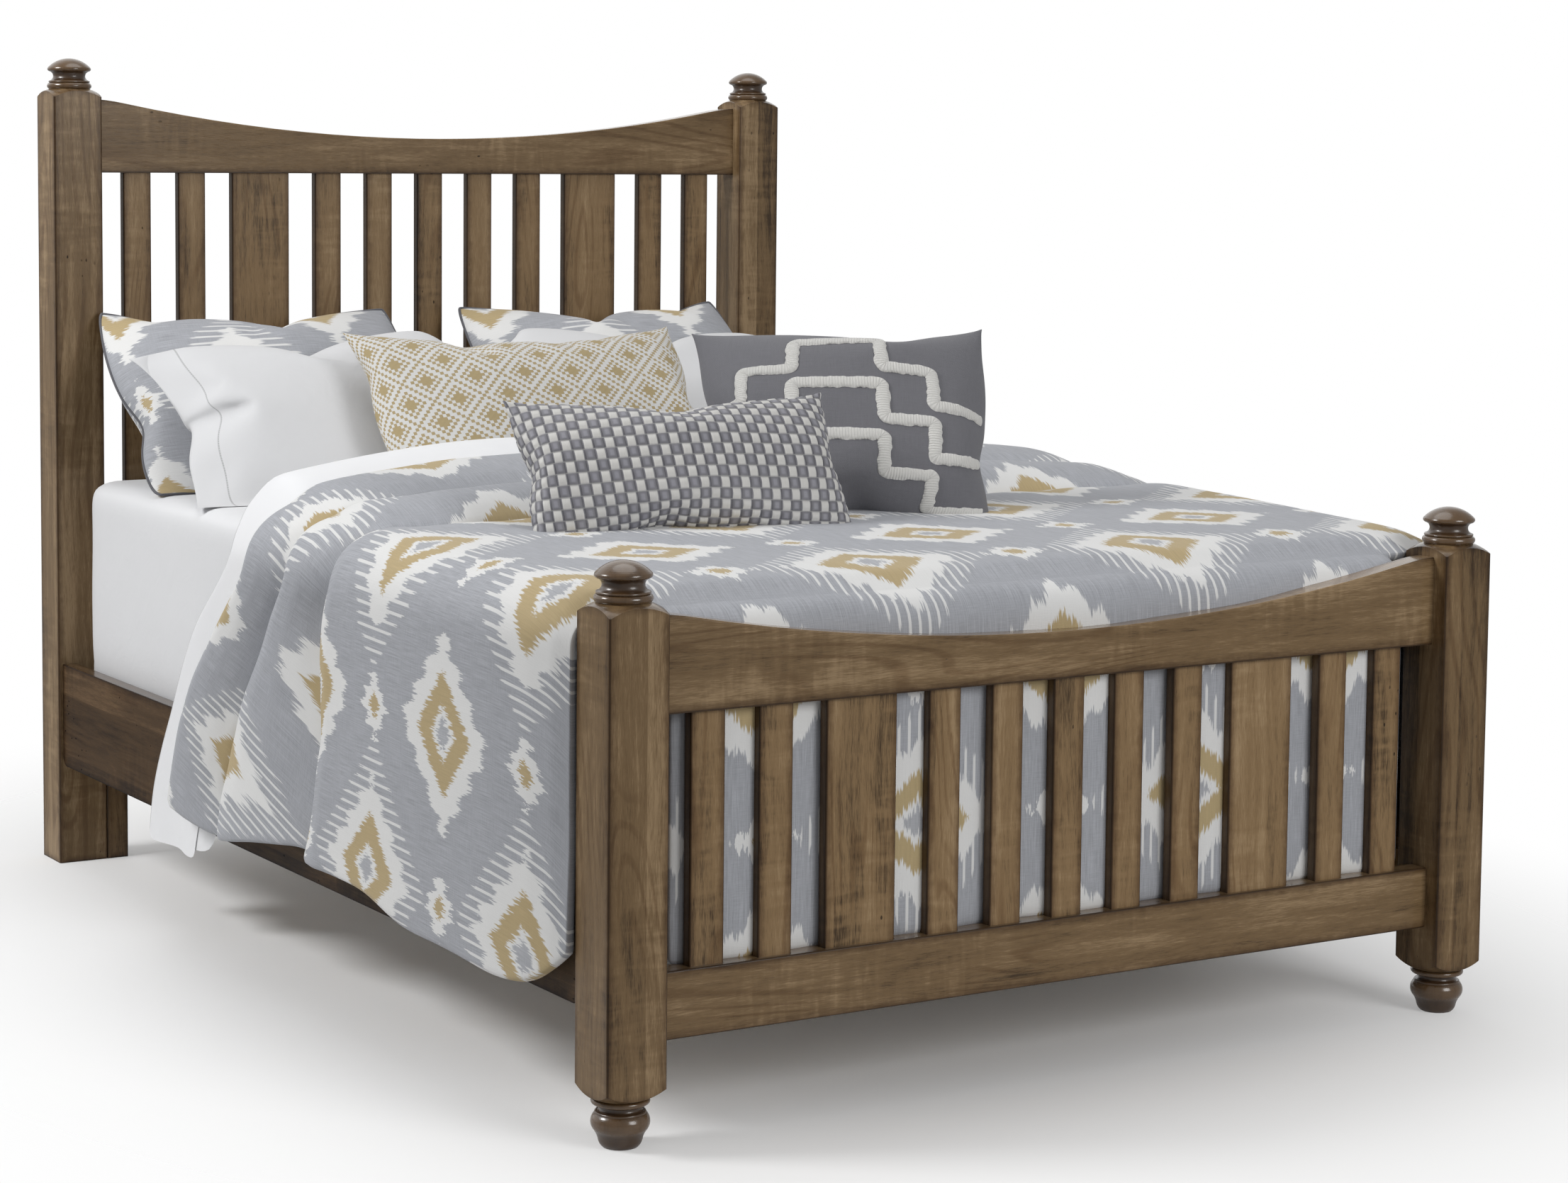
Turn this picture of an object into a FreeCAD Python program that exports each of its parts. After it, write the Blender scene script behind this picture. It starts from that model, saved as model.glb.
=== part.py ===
import FreeCAD, Part
import math
import os
import re
import Sketcher

# A queen size poster bed with slatted head and foot boards, dressed with its bedding.
# Frame: origin on the floor under the middle of the bed, +X to the right seen from the foot,
# +Y towards the headboard, +Z up. Millimetres and degrees.

SIZES = {
    # shared allowances
    "overrun": 10,
    "fit_gap": 0.3,
    "soft_gap": 0.4,
    # what the frame is built round
    "mattress_width": 1524,
    "mattress_length": 2032,
    "mattress_height": 327,
    "mattress_corner": 70,
    "mattress_edge": 34,
    "mattress_side_gap": 3,
    "mattress_head_gap": 2,
    "mattress_foot_gap": 18,
    "box_spring_height": 151,
    "box_spring_corner": 40,
    "box_spring_edge": 8,
    # posts
    "post_width": 95,
    "post_edge": 4,
    "head_corner_height": 1458,
    "foot_corner_height": 740,
    "shoulder_radius": 107,
    "seat_radius": 38,
    "leg_block_width": 42,
    "leg_block_depth": 57,
    "leg_block_edge": 2,
    # turned finials and bun feet
    "finial_height": 57.5,
    "finial_bead_radius": 41.5,
    "finial_ring_radius": 38.5,
    "finial_cove_radius": 36.5,
    "finial_neck_radius": 30,
    "finial_lip_radius": 40.5,
    "finial_edge_radius": 40.2,
    "bun_height": 69,
    "bun_base_radius": 25,
    "bun_toe_radius": 28.3,
    "bun_waist_radius": 31,
    "bun_flare_radius": 33,
    "bun_hip_radius": 38,
    "bun_belly_radius": 41.5,
    "bun_ring_radius": 36,
    "bun_neck_radius": 29,
    "bun_collar_radius": 41.5,
    "spigot_radius": 12,
    "spigot_length": 30,
    # head and foot boards
    "board_thickness": 38,
    "board_edge": 3,
    "top_rail_height": 139,
    "top_rail_dip": 69,
    "top_rail_drop": 2,
    "top_rail_ease": 55,
    "top_rail_ease_drop": 7,
    "low_rail_height": 97,
    "foot_low_rail_base": 143,
    "head_low_rail_base": 420,
    "rail_tenon_length": 30,
    "rail_tenon_thickness": 19,
    "rail_tenon_shoulder": 18,
    "slat_thickness": 19,
    "slat_narrow": 56,
    "slat_wide": 120,
    "slat_edge": 3,
    "slat_tenon": 15,
    # side rails, what hangs them and what they carry
    "side_rail_thickness": 28,
    "side_rail_height": 194,
    "side_rail_base": 190,
    "side_rail_inset": 8,
    "side_rail_corner": 18,
    "side_rail_edge": 2,
    "plate_thickness": 3,
    "plate_width": 16,
    "plate_height": 124,
    "hook_thickness": 3,
    "hook_height": 22,
    "hook_reach": 14,
    "hook_lip": 9,
    "hook_lip_thickness": 5,
    "hook_spacing": 64,
    "hook_lift": 12,
    "ledger_width": 25,
    "ledger_height": 40,
    "ledger_end_gap": 60,
    "cross_slat_width": 90,
    "cross_slat_thickness": 19,
    "cross_slat_end_gap": 1,
    "cross_slat_top": 259,
    "cross_slat_margin": 120,
    "leg_width": 45,
    "leg_base": 30,
    "glide_radius": 18,
    "glide_height": 8,
    "glide_edge": 2,
    "glide_stem_radius": 5,
    "glide_stem_length": 62,
    "glide_travel": 15,
    # flat sheet and duvet
    "sheet_thickness": 2.5,
    "sheet_turn_down": 759,
    "sheet_flare": 215,
    "sheet_hem": 160,
    "sheet_tuck": 330,
    "sheet_tuck_start": 115,
    "sheet_tuck_end": 415,
    "cloth_shoulder": 52,
    "duvet_thickness": 20,
    "duvet_turn_down": 890,
    "duvet_fold_rise": 85,
    "duvet_flare": 286,
    "duvet_hem": 204,
    "duvet_hem_rise": 63,
    "duvet_side": 20,
    "duvet_swell": 30,
    "duvet_shoulder": 70,
    "duvet_side_gap": 1.5,
    "duvet_foot_gap": 2,
    "fall_thickness": 22,
    "fall_fold": 12,
    "fall_side_gap": 12,
    "fall_hem": 252,
    # pillows and cushions
    "stack_gap": 0.6,
    "sham_width": 620,
    "sham_height": 490,
    "sham_thickness": 150,
    "sham_sink": 33,
    "sham_lean_gap": 15,
    "sham_left_x": -428,
    "sham_right_x": 335,
    "pillow_width": 680,
    "pillow_height": 495,
    "pillow_thickness": 140,
    "pillow_sink": 70,
    "pillow_left_x": -435,
    "pillow_right_x": 326,
    "diamond_width": 700,
    "diamond_height": 450,
    "diamond_thickness": 130,
    "diamond_sink": 20,
    "diamond_x": -65,
    "grey_width": 510,
    "grey_height": 435,
    "grey_thickness": 140,
    "grey_sink": 30,
    "grey_x": 80,
    "grey_from_edge": 464,
    "lumbar_width": 550,
    "lumbar_height": 280,
    "lumbar_thickness": 115,
    "lumbar_sink": 18,
    "lumbar_x": -295,
    "lumbar_from_edge": 569,
}

# How far the cushions lean back and how far the loose ones are turned to one side.
ANGLES = {
    "stack_recline_angle": 45,
    "grey_recline_angle": 52,
    "grey_turn_angle": -30,
    "lumbar_recline_angle": 55,
    "lumbar_turn_angle": -9,
}
SHEET_ROWS = {**SIZES, **ANGLES}

# Each slat of a board from left to right, N narrow and W wide.
SLAT_PATTERN = "NNWNNNNNWNN"
CROSS_SLATS = 5

# Sizes that follow from the ones above.
BED_HALF = "(mattress_width / 2 + mattress_side_gap + side_rail_thickness + side_rail_inset)"
RAIL_LENGTH = "(mattress_length + mattress_head_gap + mattress_foot_gap)"
HEAD_FACE = f"({RAIL_LENGTH} / 2)"
POST_X = f"({BED_HALF} - post_width / 2)"
POST_Y = f"({HEAD_FACE} + post_width / 2)"
BOARD_SPAN = f"(2 * {BED_HALF} - 2 * post_width)"
SHOULDER_RISE = (
    "(sqrt(shoulder_radius ^ 2 - seat_radius ^ 2) - sqrt(shoulder_radius ^ 2 - post_width ^ 2 / 2))"
)
CORNER_RADIUS = "(post_width * sqrt(1 / 2))"
HEAD_SEAT = f"(head_corner_height + {SHOULDER_RISE})"
FOOT_SEAT = f"(foot_corner_height + {SHOULDER_RISE})"
NARROW_COUNT = SLAT_PATTERN.count("N")
WIDE_COUNT = SLAT_PATTERN.count("W")
SLAT_GAP = (
    f"(({BOARD_SPAN} - {NARROW_COUNT} * slat_narrow - {WIDE_COUNT} * slat_wide)"
    f" / {len(SLAT_PATTERN) + 1})"
)
RAIL_INNER = "(mattress_width / 2 + mattress_side_gap)"
RAIL_OUTER = f"({RAIL_INNER} + side_rail_thickness)"
RAIL_MIDDLE_X = f"({RAIL_INNER} + side_rail_thickness / 2)"
RAIL_MIDDLE_Z = "(side_rail_base + side_rail_height / 2)"
MATTRESS_HEAD = f"({HEAD_FACE} - mattress_head_gap)"
MATTRESS_FOOT = f"(-{HEAD_FACE} + mattress_foot_gap)"
MATTRESS_BASE = "(cross_slat_top + box_spring_height)"
MATTRESS_TOP = f"({MATTRESS_BASE} + mattress_height)"
SHEET_HEAD = f"({MATTRESS_HEAD} - sheet_turn_down)"
SHEET_TOP = f"({MATTRESS_TOP} + soft_gap + sheet_thickness)"
SHEET_SIDE = f"({RAIL_OUTER} + soft_gap + sheet_thickness)"
DUVET_HEAD = f"({MATTRESS_HEAD} - duvet_turn_down)"
DUVET_INNER_TOP = f"({SHEET_TOP} + soft_gap)"
DUVET_INNER_SIDE = f"({SHEET_SIDE} + duvet_side_gap)"
DUVET_TOP = f"({DUVET_INNER_TOP} + duvet_thickness)"
DUVET_FOOT = f"(-{HEAD_FACE} + duvet_foot_gap)"

# Round stretches of the turned profiles, as shares of the height of the turning.
FINIAL_SHARES = {"bead": 0.10, "groove": 0.20, "ring": 0.235, "cove": 0.27, "neck": 0.42, "flare": 0.57}
FINIAL_CAP_SHARES = {"under": 0.585, "lip": 0.63, "edge": 0.68, "rim": 0.72}
BUN_SHARES = {"toe": 0.05, "waist": 0.14, "flare": 0.24, "hip": 0.36, "belly": 0.52, "bulge": 0.69}
BUN_COLLAR_SHARES = {"ring": 0.712, "cove": 0.735, "neck": 0.80, "rise": 0.875, "collar": 0.94}
EASE_MIDDLE_SHARE = 0.36
ROUND_SHARE = math.sqrt(0.5)
DOME = "dome"

# The duvet from its head edge to its foot: how far along, how high the fold stands, how far the
# hem is drawn towards the head, how high the hem hangs and how far the side swells out.
DUVET_SHARES = [
    (0.000, 0.90, 0.69, 0.56, 0.05),
    (0.030, 1.00, 0.72, 0.54, 0.50),
    (0.080, 0.97, 0.78, 0.50, 0.85),
    (0.135, 0.88, 0.86, 0.32, 0.88),
    (0.190, 0.66, 0.95, 0.11, 0.55),
    (0.220, 0.46, 1.00, 0.02, 0.05),
    (0.250, 0.64, 0.82, 0.29, 0.77),
    (0.285, 0.60, 0.56, 0.60, 0.90),
    (0.318, 0.42, 0.32, 0.80, 0.60),
    (0.345, 0.00, 0.20, 0.60, 0.00),
    (0.390, 0.00, 0.17, 0.63, 0.36),
    (0.480, 0.00, 0.12, 0.66, 0.50),
    (0.610, 0.00, 0.06, 0.40, 0.54),
    (0.750, 0.00, 0.02, 0.07, 0.54),
    (0.880, 0.00, 0.00, 0.00, 0.30),
    (0.960, 0.00, 0.00, 0.20, 0.05),
    (1.000, 0.00, 0.00, 0.55, 0.00),
]
# Folds of the duvet's fall behind the foot slats, across the bed.
FALL_SHARES = [0.2, 1.0, 0.3, 0.9, 0.1, 0.8, 0.4, 1.0, 0.2, 0.9, 0.3]
# Layers of a cushion from its seam to its crown: height, size, and how far a side leaves the
# straight line between its corners, inwards below zero.
CUSHION_SHARES = [
    (0.000, 1.000, -0.050),
    (0.090, 0.988, -0.040),
    (0.210, 0.945, -0.020),
    (0.320, 0.860, 0.010),
    (0.415, 0.720, 0.040),
    (0.475, 0.520, 0.070),
    (0.500, 0.280, 0.100),
]
# Layers of the mattress from its base to its top: height and how much of the edge is drawn in.
MATTRESS_SHARES = [
    (0.00, 0.55),
    (0.05, 0.12),
    (0.14, 0.00),
    (0.84, 0.00),
    (0.93, 0.18),
    (0.98, 0.55),
    (1.00, 1.00),
]
# The same for the box spring.
SPRING_SHARES = [(0.00, 1.00), (0.06, 0.00), (0.94, 0.00), (1.00, 1.00)]

doc = FreeCAD.newDocument("PosterBed")
sheet = doc.addObject("Spreadsheet::Sheet", "Sizes")
for row, (alias, number) in enumerate(SHEET_ROWS.items(), start=1):
    sheet.set(f"A{row}", alias)
    sheet.set(f"B{row}", str(number))
    sheet.setAlias(f"B{row}", alias)
doc.recompute()

subparts = []


def bound(text):
    """The expression with each size named in it read from the sheet."""
    return re.sub(r"[a-z_]+", lambda word: f"Sizes.{word[0]}" if word[0] in SHEET_ROWS else word[0], text)


def size(text):
    """The value of an expression, for shapes that are worked out here."""
    return float(sheet.evalExpression(bound(text)))


def subpart(item, label):
    """Names an object as one piece of the bed."""
    item.Label = label
    subparts.append(item)
    return item


def place(item, x, y, z):
    for axis, text in zip("xyz", (x, y, z)):
        item.setExpression(f"Placement.Base.{axis}", bound(text))


def box(name, extent, middle, base):
    """A box of the given width, depth and height, centred in plan and standing on its base."""
    item = doc.addObject("Part::Box", name)
    for side, text in zip(("Length", "Width", "Height"), extent):
        item.setExpression(side, bound(text))
    place(item, f"{middle[0]} - ({extent[0]}) / 2", f"{middle[1]} - ({extent[1]}) / 2", base)
    return item


def cylinder(name, radius, height, middle, base):
    item = doc.addObject("Part::Cylinder", name)
    item.setExpression("Radius", bound(radius))
    item.setExpression("Height", bound(height))
    place(item, middle[0], middle[1], base)
    return item


def fuse(name, items):
    joined = doc.addObject("Part::MultiFuse", name)
    joined.Shapes = items
    return joined


def cut(name, base, tools):
    """The base with every tool taken away."""
    result = doc.addObject("Part::Cut", name)
    result.Base = base
    result.Tool = tools[0] if len(tools) == 1 else fuse(f"{name}_tools", tools)
    return result


def group(label, items):
    """Like pieces kept together as separate solids."""
    set_of_items = doc.addObject("Part::Compound", label)
    set_of_items.Links = items
    return subpart(set_of_items, label)


def dome_middle(first, last):
    """The middle of the short arc between two points that is centred on the vertical axis."""
    centre_height = (first.dot(first) - last.dot(last)) / (2 * (first.y - last.y))
    centre = FreeCAD.Vector(0, centre_height, 0)
    towards = (first + last) / 2 - centre
    return centre + towards.normalize() * (first - centre).Length


def outline(body, name, role, steps):
    """A closed sketch. Each step ends at its last two expressions; with four, an arc passes
    through the first two on its way there, with DOME before them an arc centred on the vertical
    axis leads there, and the first step closes the outline."""
    sketch = body.newObject("Sketcher::SketchObject", name)
    plane = next(feature for feature in body.Origin.OriginFeatures if feature.Role == role)
    sketch.AttachmentSupport = [(plane, "")]
    sketch.MapMode = "FlatFace"

    def spot(pair):
        return FreeCAD.Vector(size(pair[0]), size(pair[1]), 0)

    def pin(geometry, end, pair):
        for kind, text, value in zip(("DistanceX", "DistanceY"), pair, spot(pair)):
            index = sketch.addConstraint(Sketcher.Constraint(kind, -1, 1, geometry, end, value))
            sketch.renameConstraint(index, f"c{index}")
            sketch.setExpression(f"Constraints.c{index}", bound(text))

    ends = []
    for index, step in enumerate(steps):
        following = steps[(index + 1) % len(steps)]
        first, last = spot(step[-2:]), spot(following[-2:])
        if len(following) == 2:
            geometry = sketch.addGeometry(Part.LineSegment(first, last))
            ends.append((geometry, 1, 2))
            continue
        domed = following[0] == DOME
        through = dome_middle(first, last) if domed else spot(following[:2])
        geometry = sketch.addGeometry(Part.Arc(first, through, last))
        forward = sketch.getPoint(geometry, 1).isEqual(first, size("fit_gap"))
        ends.append((geometry, 1, 2) if forward else (geometry, 2, 1))
        if domed:
            sketch.addConstraint(Sketcher.Constraint("PointOnObject", geometry, 3, -2))
            continue
        mark = sketch.addGeometry(Part.Point(through), True)
        sketch.addConstraint(Sketcher.Constraint("PointOnObject", mark, 1, geometry))
        pin(mark, 1, following[:2])
    for index, (geometry, start, end) in enumerate(ends):
        following, next_start, _ = ends[(index + 1) % len(ends)]
        sketch.addConstraint(Sketcher.Constraint("Coincident", geometry, end, following, next_start))
        pin(geometry, start, steps[index][-2:])
    return sketch


def new_body(name):
    return doc.addObject("PartDesign::Body", name)


def pad(body, sketch, length, symmetric=False):
    feature = body.newObject("PartDesign::Pad", f"{sketch.Name}_pad")
    feature.Profile = sketch
    feature.setExpression("Length", bound(length))
    feature.SideType = "Symmetric" if symmetric else "One side"
    return feature


def turn(body, sketch, kind):
    """A Revolution or a Groove once round the vertical axis of a sketch."""
    feature = body.newObject(f"PartDesign::{kind}", f"{sketch.Name}_{kind.lower()}")
    feature.Profile = sketch
    feature.ReferenceAxis = (sketch, ["V_Axis"])
    feature.Angle = 360
    return feature


def ease(body, radius, wanted):
    """Rounds the edges of the body's last feature whose middle is wanted."""
    doc.recompute()
    tip = body.Tip
    names = []
    for index, edge in enumerate(tip.Shape.Edges, start=1):
        if wanted(edge.CenterOfMass):
            names.append(f"Edge{index}")
    feature = body.newObject("PartDesign::Fillet", f"{body.Name}_ease")
    feature.Base = (tip, names)
    feature.setExpression("Radius", bound(radius))
    return feature


def rounded_rectangle(width, depth, radius):
    """Steps of a rectangle about the origin with its corners rounded."""
    across, along = f"({width}) / 2", f"({depth}) / 2"
    drawn = f"{radius} * (1 - {ROUND_SHARE})"
    steps = []
    for right, up, first in ((1, -1, "x"), (1, 1, "y"), (-1, 1, "x"), (-1, -1, "y")):
        on_side = (f"{right} * ({across})", f"{up} * ({along} - {radius})")
        on_end = (f"{right} * ({across} - {radius})", f"{up} * ({along})")
        middle = (f"{right} * ({across} - {drawn})", f"{up} * ({along} - {drawn})")
        start, end = (on_end, on_side) if first == "x" else (on_side, on_end)
        steps += [start, middle + end]
    return steps


def shoulder(body, name, seat, direction):
    """Turns away the corners of a post so that each face ends in an arch below the seat."""
    beyond = f"{CORNER_RADIUS} + overrun"
    low = f"{seat} - {direction} * {SHOULDER_RISE}"
    far = f"{seat} + {direction} * overrun"
    steps = [
        ("seat_radius", seat),
        (DOME, CORNER_RADIUS, low),
        (beyond, low),
        (beyond, far),
        ("seat_radius", far),
    ]
    return turn(body, outline(body, name, "XZ_Plane", steps), "Groove")


def post_blank(name, x, y, base, seat, footed):
    """A square post with eased edges and a turned shoulder at each end that carries a turning."""
    body = new_body(name)
    steps = rounded_rectangle("post_width", "post_width", "post_edge")
    length = f"{seat} - {base}"
    pad(body, outline(body, f"{name}_section", "XY_Plane", steps), length)
    shoulder(body, f"{name}_top", length, 1)
    if footed:
        shoulder(body, f"{name}_bottom", "0 * post_width", -1)
    place(body, x, y, base)
    return body


def spigot_bore(name, middle, mouth, direction):
    """The hole for a spigot, from its mouth into the post."""
    depth = "(spigot_length + fit_gap)"
    base = f"{mouth} - {depth}" if direction > 0 else f"{mouth} - overrun"
    return cylinder(name, "spigot_radius + fit_gap", f"{depth} + overrun", middle, base)


def finial(label, x, y, seat):
    """A mushroom finial: bead, ring, neck and lipped dome, on a spigot."""
    up = {key: f"finial_height * {share}" for key, share in {**FINIAL_SHARES, **FINIAL_CAP_SHARES}.items()}
    axis, floor = "0 * spigot_radius", "0 * spigot_length"
    steps = [
        (axis, "-spigot_length"),
        ("spigot_radius", "-spigot_length"),
        ("spigot_radius", floor),
        ("seat_radius", floor),
        ("finial_bead_radius", up["bead"], "finial_cove_radius", up["groove"]),
        ("finial_ring_radius", up["ring"], "finial_cove_radius", up["cove"]),
        ("finial_neck_radius", up["neck"], "finial_cove_radius", up["flare"]),
        ("finial_ring_radius", up["under"], "finial_lip_radius", up["lip"]),
        ("finial_edge_radius", up["edge"], "finial_ring_radius", up["rim"]),
        (DOME, axis, "finial_height"),
    ]
    body = new_body(label)
    turn(body, outline(body, f"{label}_profile", "XZ_Plane", steps), "Revolution")
    place(body, x, y, seat)
    return subpart(body, label)


def bun_foot(label, x, y):
    """A bun foot: toe, waist, belly, ring, neck and collar, with a spigot up into the post."""
    up = {key: f"bun_height * {share}" for key, share in {**BUN_SHARES, **BUN_COLLAR_SHARES}.items()}
    axis, floor = "0 * spigot_radius", "0 * spigot_length"
    inner = "(bun_ring_radius + bun_neck_radius) / 2"
    steps = [
        (axis, floor),
        ("bun_base_radius", floor),
        ("bun_toe_radius", up["toe"], "bun_waist_radius", up["waist"]),
        ("bun_flare_radius", up["flare"], "bun_hip_radius", up["hip"]),
        ("bun_belly_radius", up["belly"], "bun_ring_radius", up["bulge"]),
        ("bun_ring_radius", up["ring"], inner, up["cove"]),
        ("bun_neck_radius", up["neck"], "bun_ring_radius", up["rise"]),
        ("bun_collar_radius", up["collar"], "seat_radius", "bun_height"),
        ("spigot_radius", "bun_height"),
        ("spigot_radius", "bun_height + spigot_length"),
        (axis, "bun_height + spigot_length"),
    ]
    body = new_body(label)
    turn(body, outline(body, f"{label}_profile", "XZ_Plane", steps), "Revolution")
    place(body, x, y, floor)
    return subpart(body, label)


def slat_places():
    """The middle of each slat across the board, with the name of its width."""
    places = []
    left = f"-{BOARD_SPAN} / 2"
    for letter in SLAT_PATTERN:
        width = "slat_narrow" if letter == "N" else "slat_wide"
        places.append((f"({left} + {SLAT_GAP} + {width} / 2)", width))
        left = f"{left} + {SLAT_GAP} + {width}"
    return places


def slats(board, y, low, high):
    """The slats of a board, each let into both rails."""
    length = f"{high} - {low} + 2 * slat_tenon"
    for number, (middle, width) in enumerate(slat_places(), start=1):
        label = f"{board}_slat_{number:02d}"
        body = new_body(label)
        steps = rounded_rectangle(width, "slat_thickness", "slat_edge")
        pad(body, outline(body, f"{label}_section", "XY_Plane", steps), length)
        place(body, middle, y, f"{low} - slat_tenon")
        subpart(body, label)


def slat_mortises(rail, y, mouth, direction):
    """The housings in a rail for every slat, cut from its mouth."""
    depth = "slat_tenon + fit_gap"
    base = f"{mouth} - overrun" if direction > 0 else f"{mouth} - ({depth})"
    tools = []
    for number, (middle, width) in enumerate(slat_places(), start=1):
        extent = (f"{width} + 2 * fit_gap", "slat_thickness + 2 * fit_gap", f"{depth} + overrun")
        tools.append(box(f"{rail}_mortise_{number}", extent, (middle, y), base))
    return tools


def board_tenon(body, name, low, high):
    """A tongue set into each end of a rail that stands out as its tenon."""
    near, far = f"({BOARD_SPAN} / 2 - rail_tenon_shoulder)", f"({BOARD_SPAN} / 2 + rail_tenon_length)"
    for side, sign in (("left", -1), ("right", 1)):
        corners = [(near, low), (far, low), (far, high), (near, high)]
        steps = [(f"{sign} * {x}", z) for x, z in corners]
        sketch = outline(body, f"{name}_tenon_{side}", "XZ_Plane", steps)
        pad(body, sketch, "rail_tenon_thickness", True)


def tenon_mortises(board, y, low, high):
    """The mortises of one rail in the left and right posts."""
    tools = {}
    for side, sign in (("left", -1), ("right", 1)):
        extent = (
            "rail_tenon_length + fit_gap + overrun",
            "rail_tenon_thickness + 2 * fit_gap",
            f"{high} - ({low}) + 2 * fit_gap",
        )
        middle = f"{sign} * ({BOARD_SPAN} / 2 + (rail_tenon_length + fit_gap - overrun) / 2)"
        tools[side] = box(f"{board}_mortise_{side}", extent, (middle, y), f"{low} - fit_gap")
    return tools


def top_rail(label, y, low):
    """A top rail whose upper edge is scooped between short eased ends."""
    body = new_body(f"{label}_blank")
    half, ease_in = f"({BOARD_SPAN} / 2)", f"({BOARD_SPAN} / 2 - top_rail_ease)"
    ease_middle = f"({BOARD_SPAN} / 2 - top_rail_ease / 2)"
    ease_top = "top_rail_height - top_rail_ease_drop"
    ease_mid_top = f"top_rail_height - top_rail_ease_drop * {EASE_MIDDLE_SHARE}"
    floor, centre = "0 * top_rail_height", "0 * top_rail_ease"
    steps = [
        (f"-{half}", floor),
        (half, floor),
        (half, "top_rail_height"),
        (ease_middle, ease_mid_top, ease_in, ease_top),
        (centre, "top_rail_height - top_rail_dip", f"-{ease_in}", ease_top),
        (f"-{ease_middle}", ease_mid_top, f"-{half}", "top_rail_height"),
    ]
    pad(body, outline(body, f"{label}_outline", "XZ_Plane", steps), "board_thickness", True)
    tenon_low, tenon_high = "rail_tenon_shoulder", "top_rail_height - 2 * rail_tenon_shoulder"
    board_tenon(body, label, tenon_low, tenon_high)
    edge_height = size("top_rail_height - top_rail_dip")
    edge_depth, edge_end = size("board_thickness / 2 - fit_gap"), size(f"{half} - fit_gap")

    def upper_edge(spot):
        return spot.z > edge_height and abs(spot.y) > edge_depth and abs(spot.x) < edge_end

    ease(body, "board_edge", upper_edge)
    place(body, "0 * board_thickness", y, low)
    mortises = tenon_mortises(label, y, f"{low} + {tenon_low}", f"{low} + {tenon_high}")
    subpart(cut(f"{label}_cut", body, slat_mortises(label, y, low, 1)), label)
    return mortises


def low_rail(label, y, low):
    """A straight lower rail with eased long edges."""
    body = new_body(f"{label}_blank")
    steps = rounded_rectangle("board_thickness", "low_rail_height", "board_edge")
    pad(body, outline(body, f"{label}_section", "YZ_Plane", steps), BOARD_SPAN, True)
    tenon_low = "rail_tenon_shoulder - low_rail_height / 2"
    tenon_high = "low_rail_height / 2 - rail_tenon_shoulder"
    board_tenon(body, label, tenon_low, tenon_high)
    middle = f"({low} + low_rail_height / 2)"
    place(body, "0 * board_thickness", y, middle)
    mortises = tenon_mortises(label, y, f"{middle} + {tenon_low}", f"{middle} + {tenon_high}")
    subpart(cut(f"{label}_cut", body, slat_mortises(label, y, f"{low} + low_rail_height", -1)), label)
    return mortises


def leg_block(label, sign):
    """The block beside a headboard post, flush with its front, up to the lower rail."""
    body = new_body(label)
    steps = rounded_rectangle("leg_block_width", "leg_block_depth", "leg_block_edge")
    pad(body, outline(body, f"{label}_section", "XY_Plane", steps), "head_low_rail_base")
    x = f"{sign} * ({BOARD_SPAN} / 2 - leg_block_width / 2)"
    place(body, x, f"{HEAD_FACE} + leg_block_depth / 2", "0 * leg_block_depth")
    subpart(body, label)


def hook_rows():
    """The heights at which the two hooks of a plate rest."""
    return [f"({RAIL_MIDDLE_Z} + {row} * hook_spacing / 2)" for row in (-1, 1)]


def hook_plate(name, x, face, outward):
    """A plate let into the end of a side rail, with two hooks that reach into the post."""
    plate_y = f"{face} - {outward} * plate_thickness / 2"
    extent = ("plate_width", "plate_thickness", "plate_height")
    pieces = [box(f"{name}_plate", extent, (x, plate_y), f"{RAIL_MIDDLE_Z} - plate_height / 2")]
    for number, height in enumerate(hook_rows(), start=1):
        stem = ("hook_thickness", "hook_reach + plate_thickness", "hook_height")
        stem_y = f"{face} + {outward} * (hook_reach - plate_thickness) / 2"
        pieces.append(box(f"{name}_stem_{number}", stem, (x, stem_y), height))
        lip = ("hook_thickness", "hook_lip_thickness", "hook_lip + hook_height / 2")
        lip_y = f"{face} + {outward} * (hook_reach - hook_lip_thickness / 2)"
        pieces.append(box(f"{name}_lip_{number}", lip, (x, lip_y), f"{height} - hook_lip"))
    return fuse(name, pieces)


def catch_plate(name, x, face, outward):
    """A plate let into a post, with a slot for each hook."""
    middle = f"{face} + {outward} * plate_thickness / 2"
    extent = ("plate_width", "plate_thickness", "plate_height")
    plate = box(f"{name}_blank", extent, (x, middle), f"{RAIL_MIDDLE_Z} - plate_height / 2")
    tools = []
    for number, height in enumerate(hook_rows(), start=1):
        slot = ("hook_thickness + 2 * fit_gap", "plate_thickness + 2 * overrun", "hook_height + hook_lift")
        tools.append(box(f"{name}_slot_{number}", slot, (x, middle), height))
    return cut(name, plate, tools)


def catch_recess(name, x, face, outward):
    """The room in a post for a catch plate and for the hooks behind it."""
    plate_room = ("plate_width", "plate_thickness + overrun", "plate_height")
    plate_y = f"{face} + {outward} * (plate_thickness - overrun) / 2"
    base = f"{RAIL_MIDDLE_Z} - plate_height / 2"
    hook_room = (
        "hook_thickness + 4 * fit_gap",
        "hook_reach + fit_gap",
        "hook_spacing + hook_height + hook_lift + hook_lip + fit_gap",
    )
    hook_y = f"{face} + {outward} * (hook_reach + fit_gap) / 2"
    return [
        box(f"{name}_plate_room", plate_room, (x, plate_y), base),
        box(f"{name}_hook_room", hook_room, (x, hook_y), f"{hook_rows()[0]} - hook_lip - fit_gap"),
    ]


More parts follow.
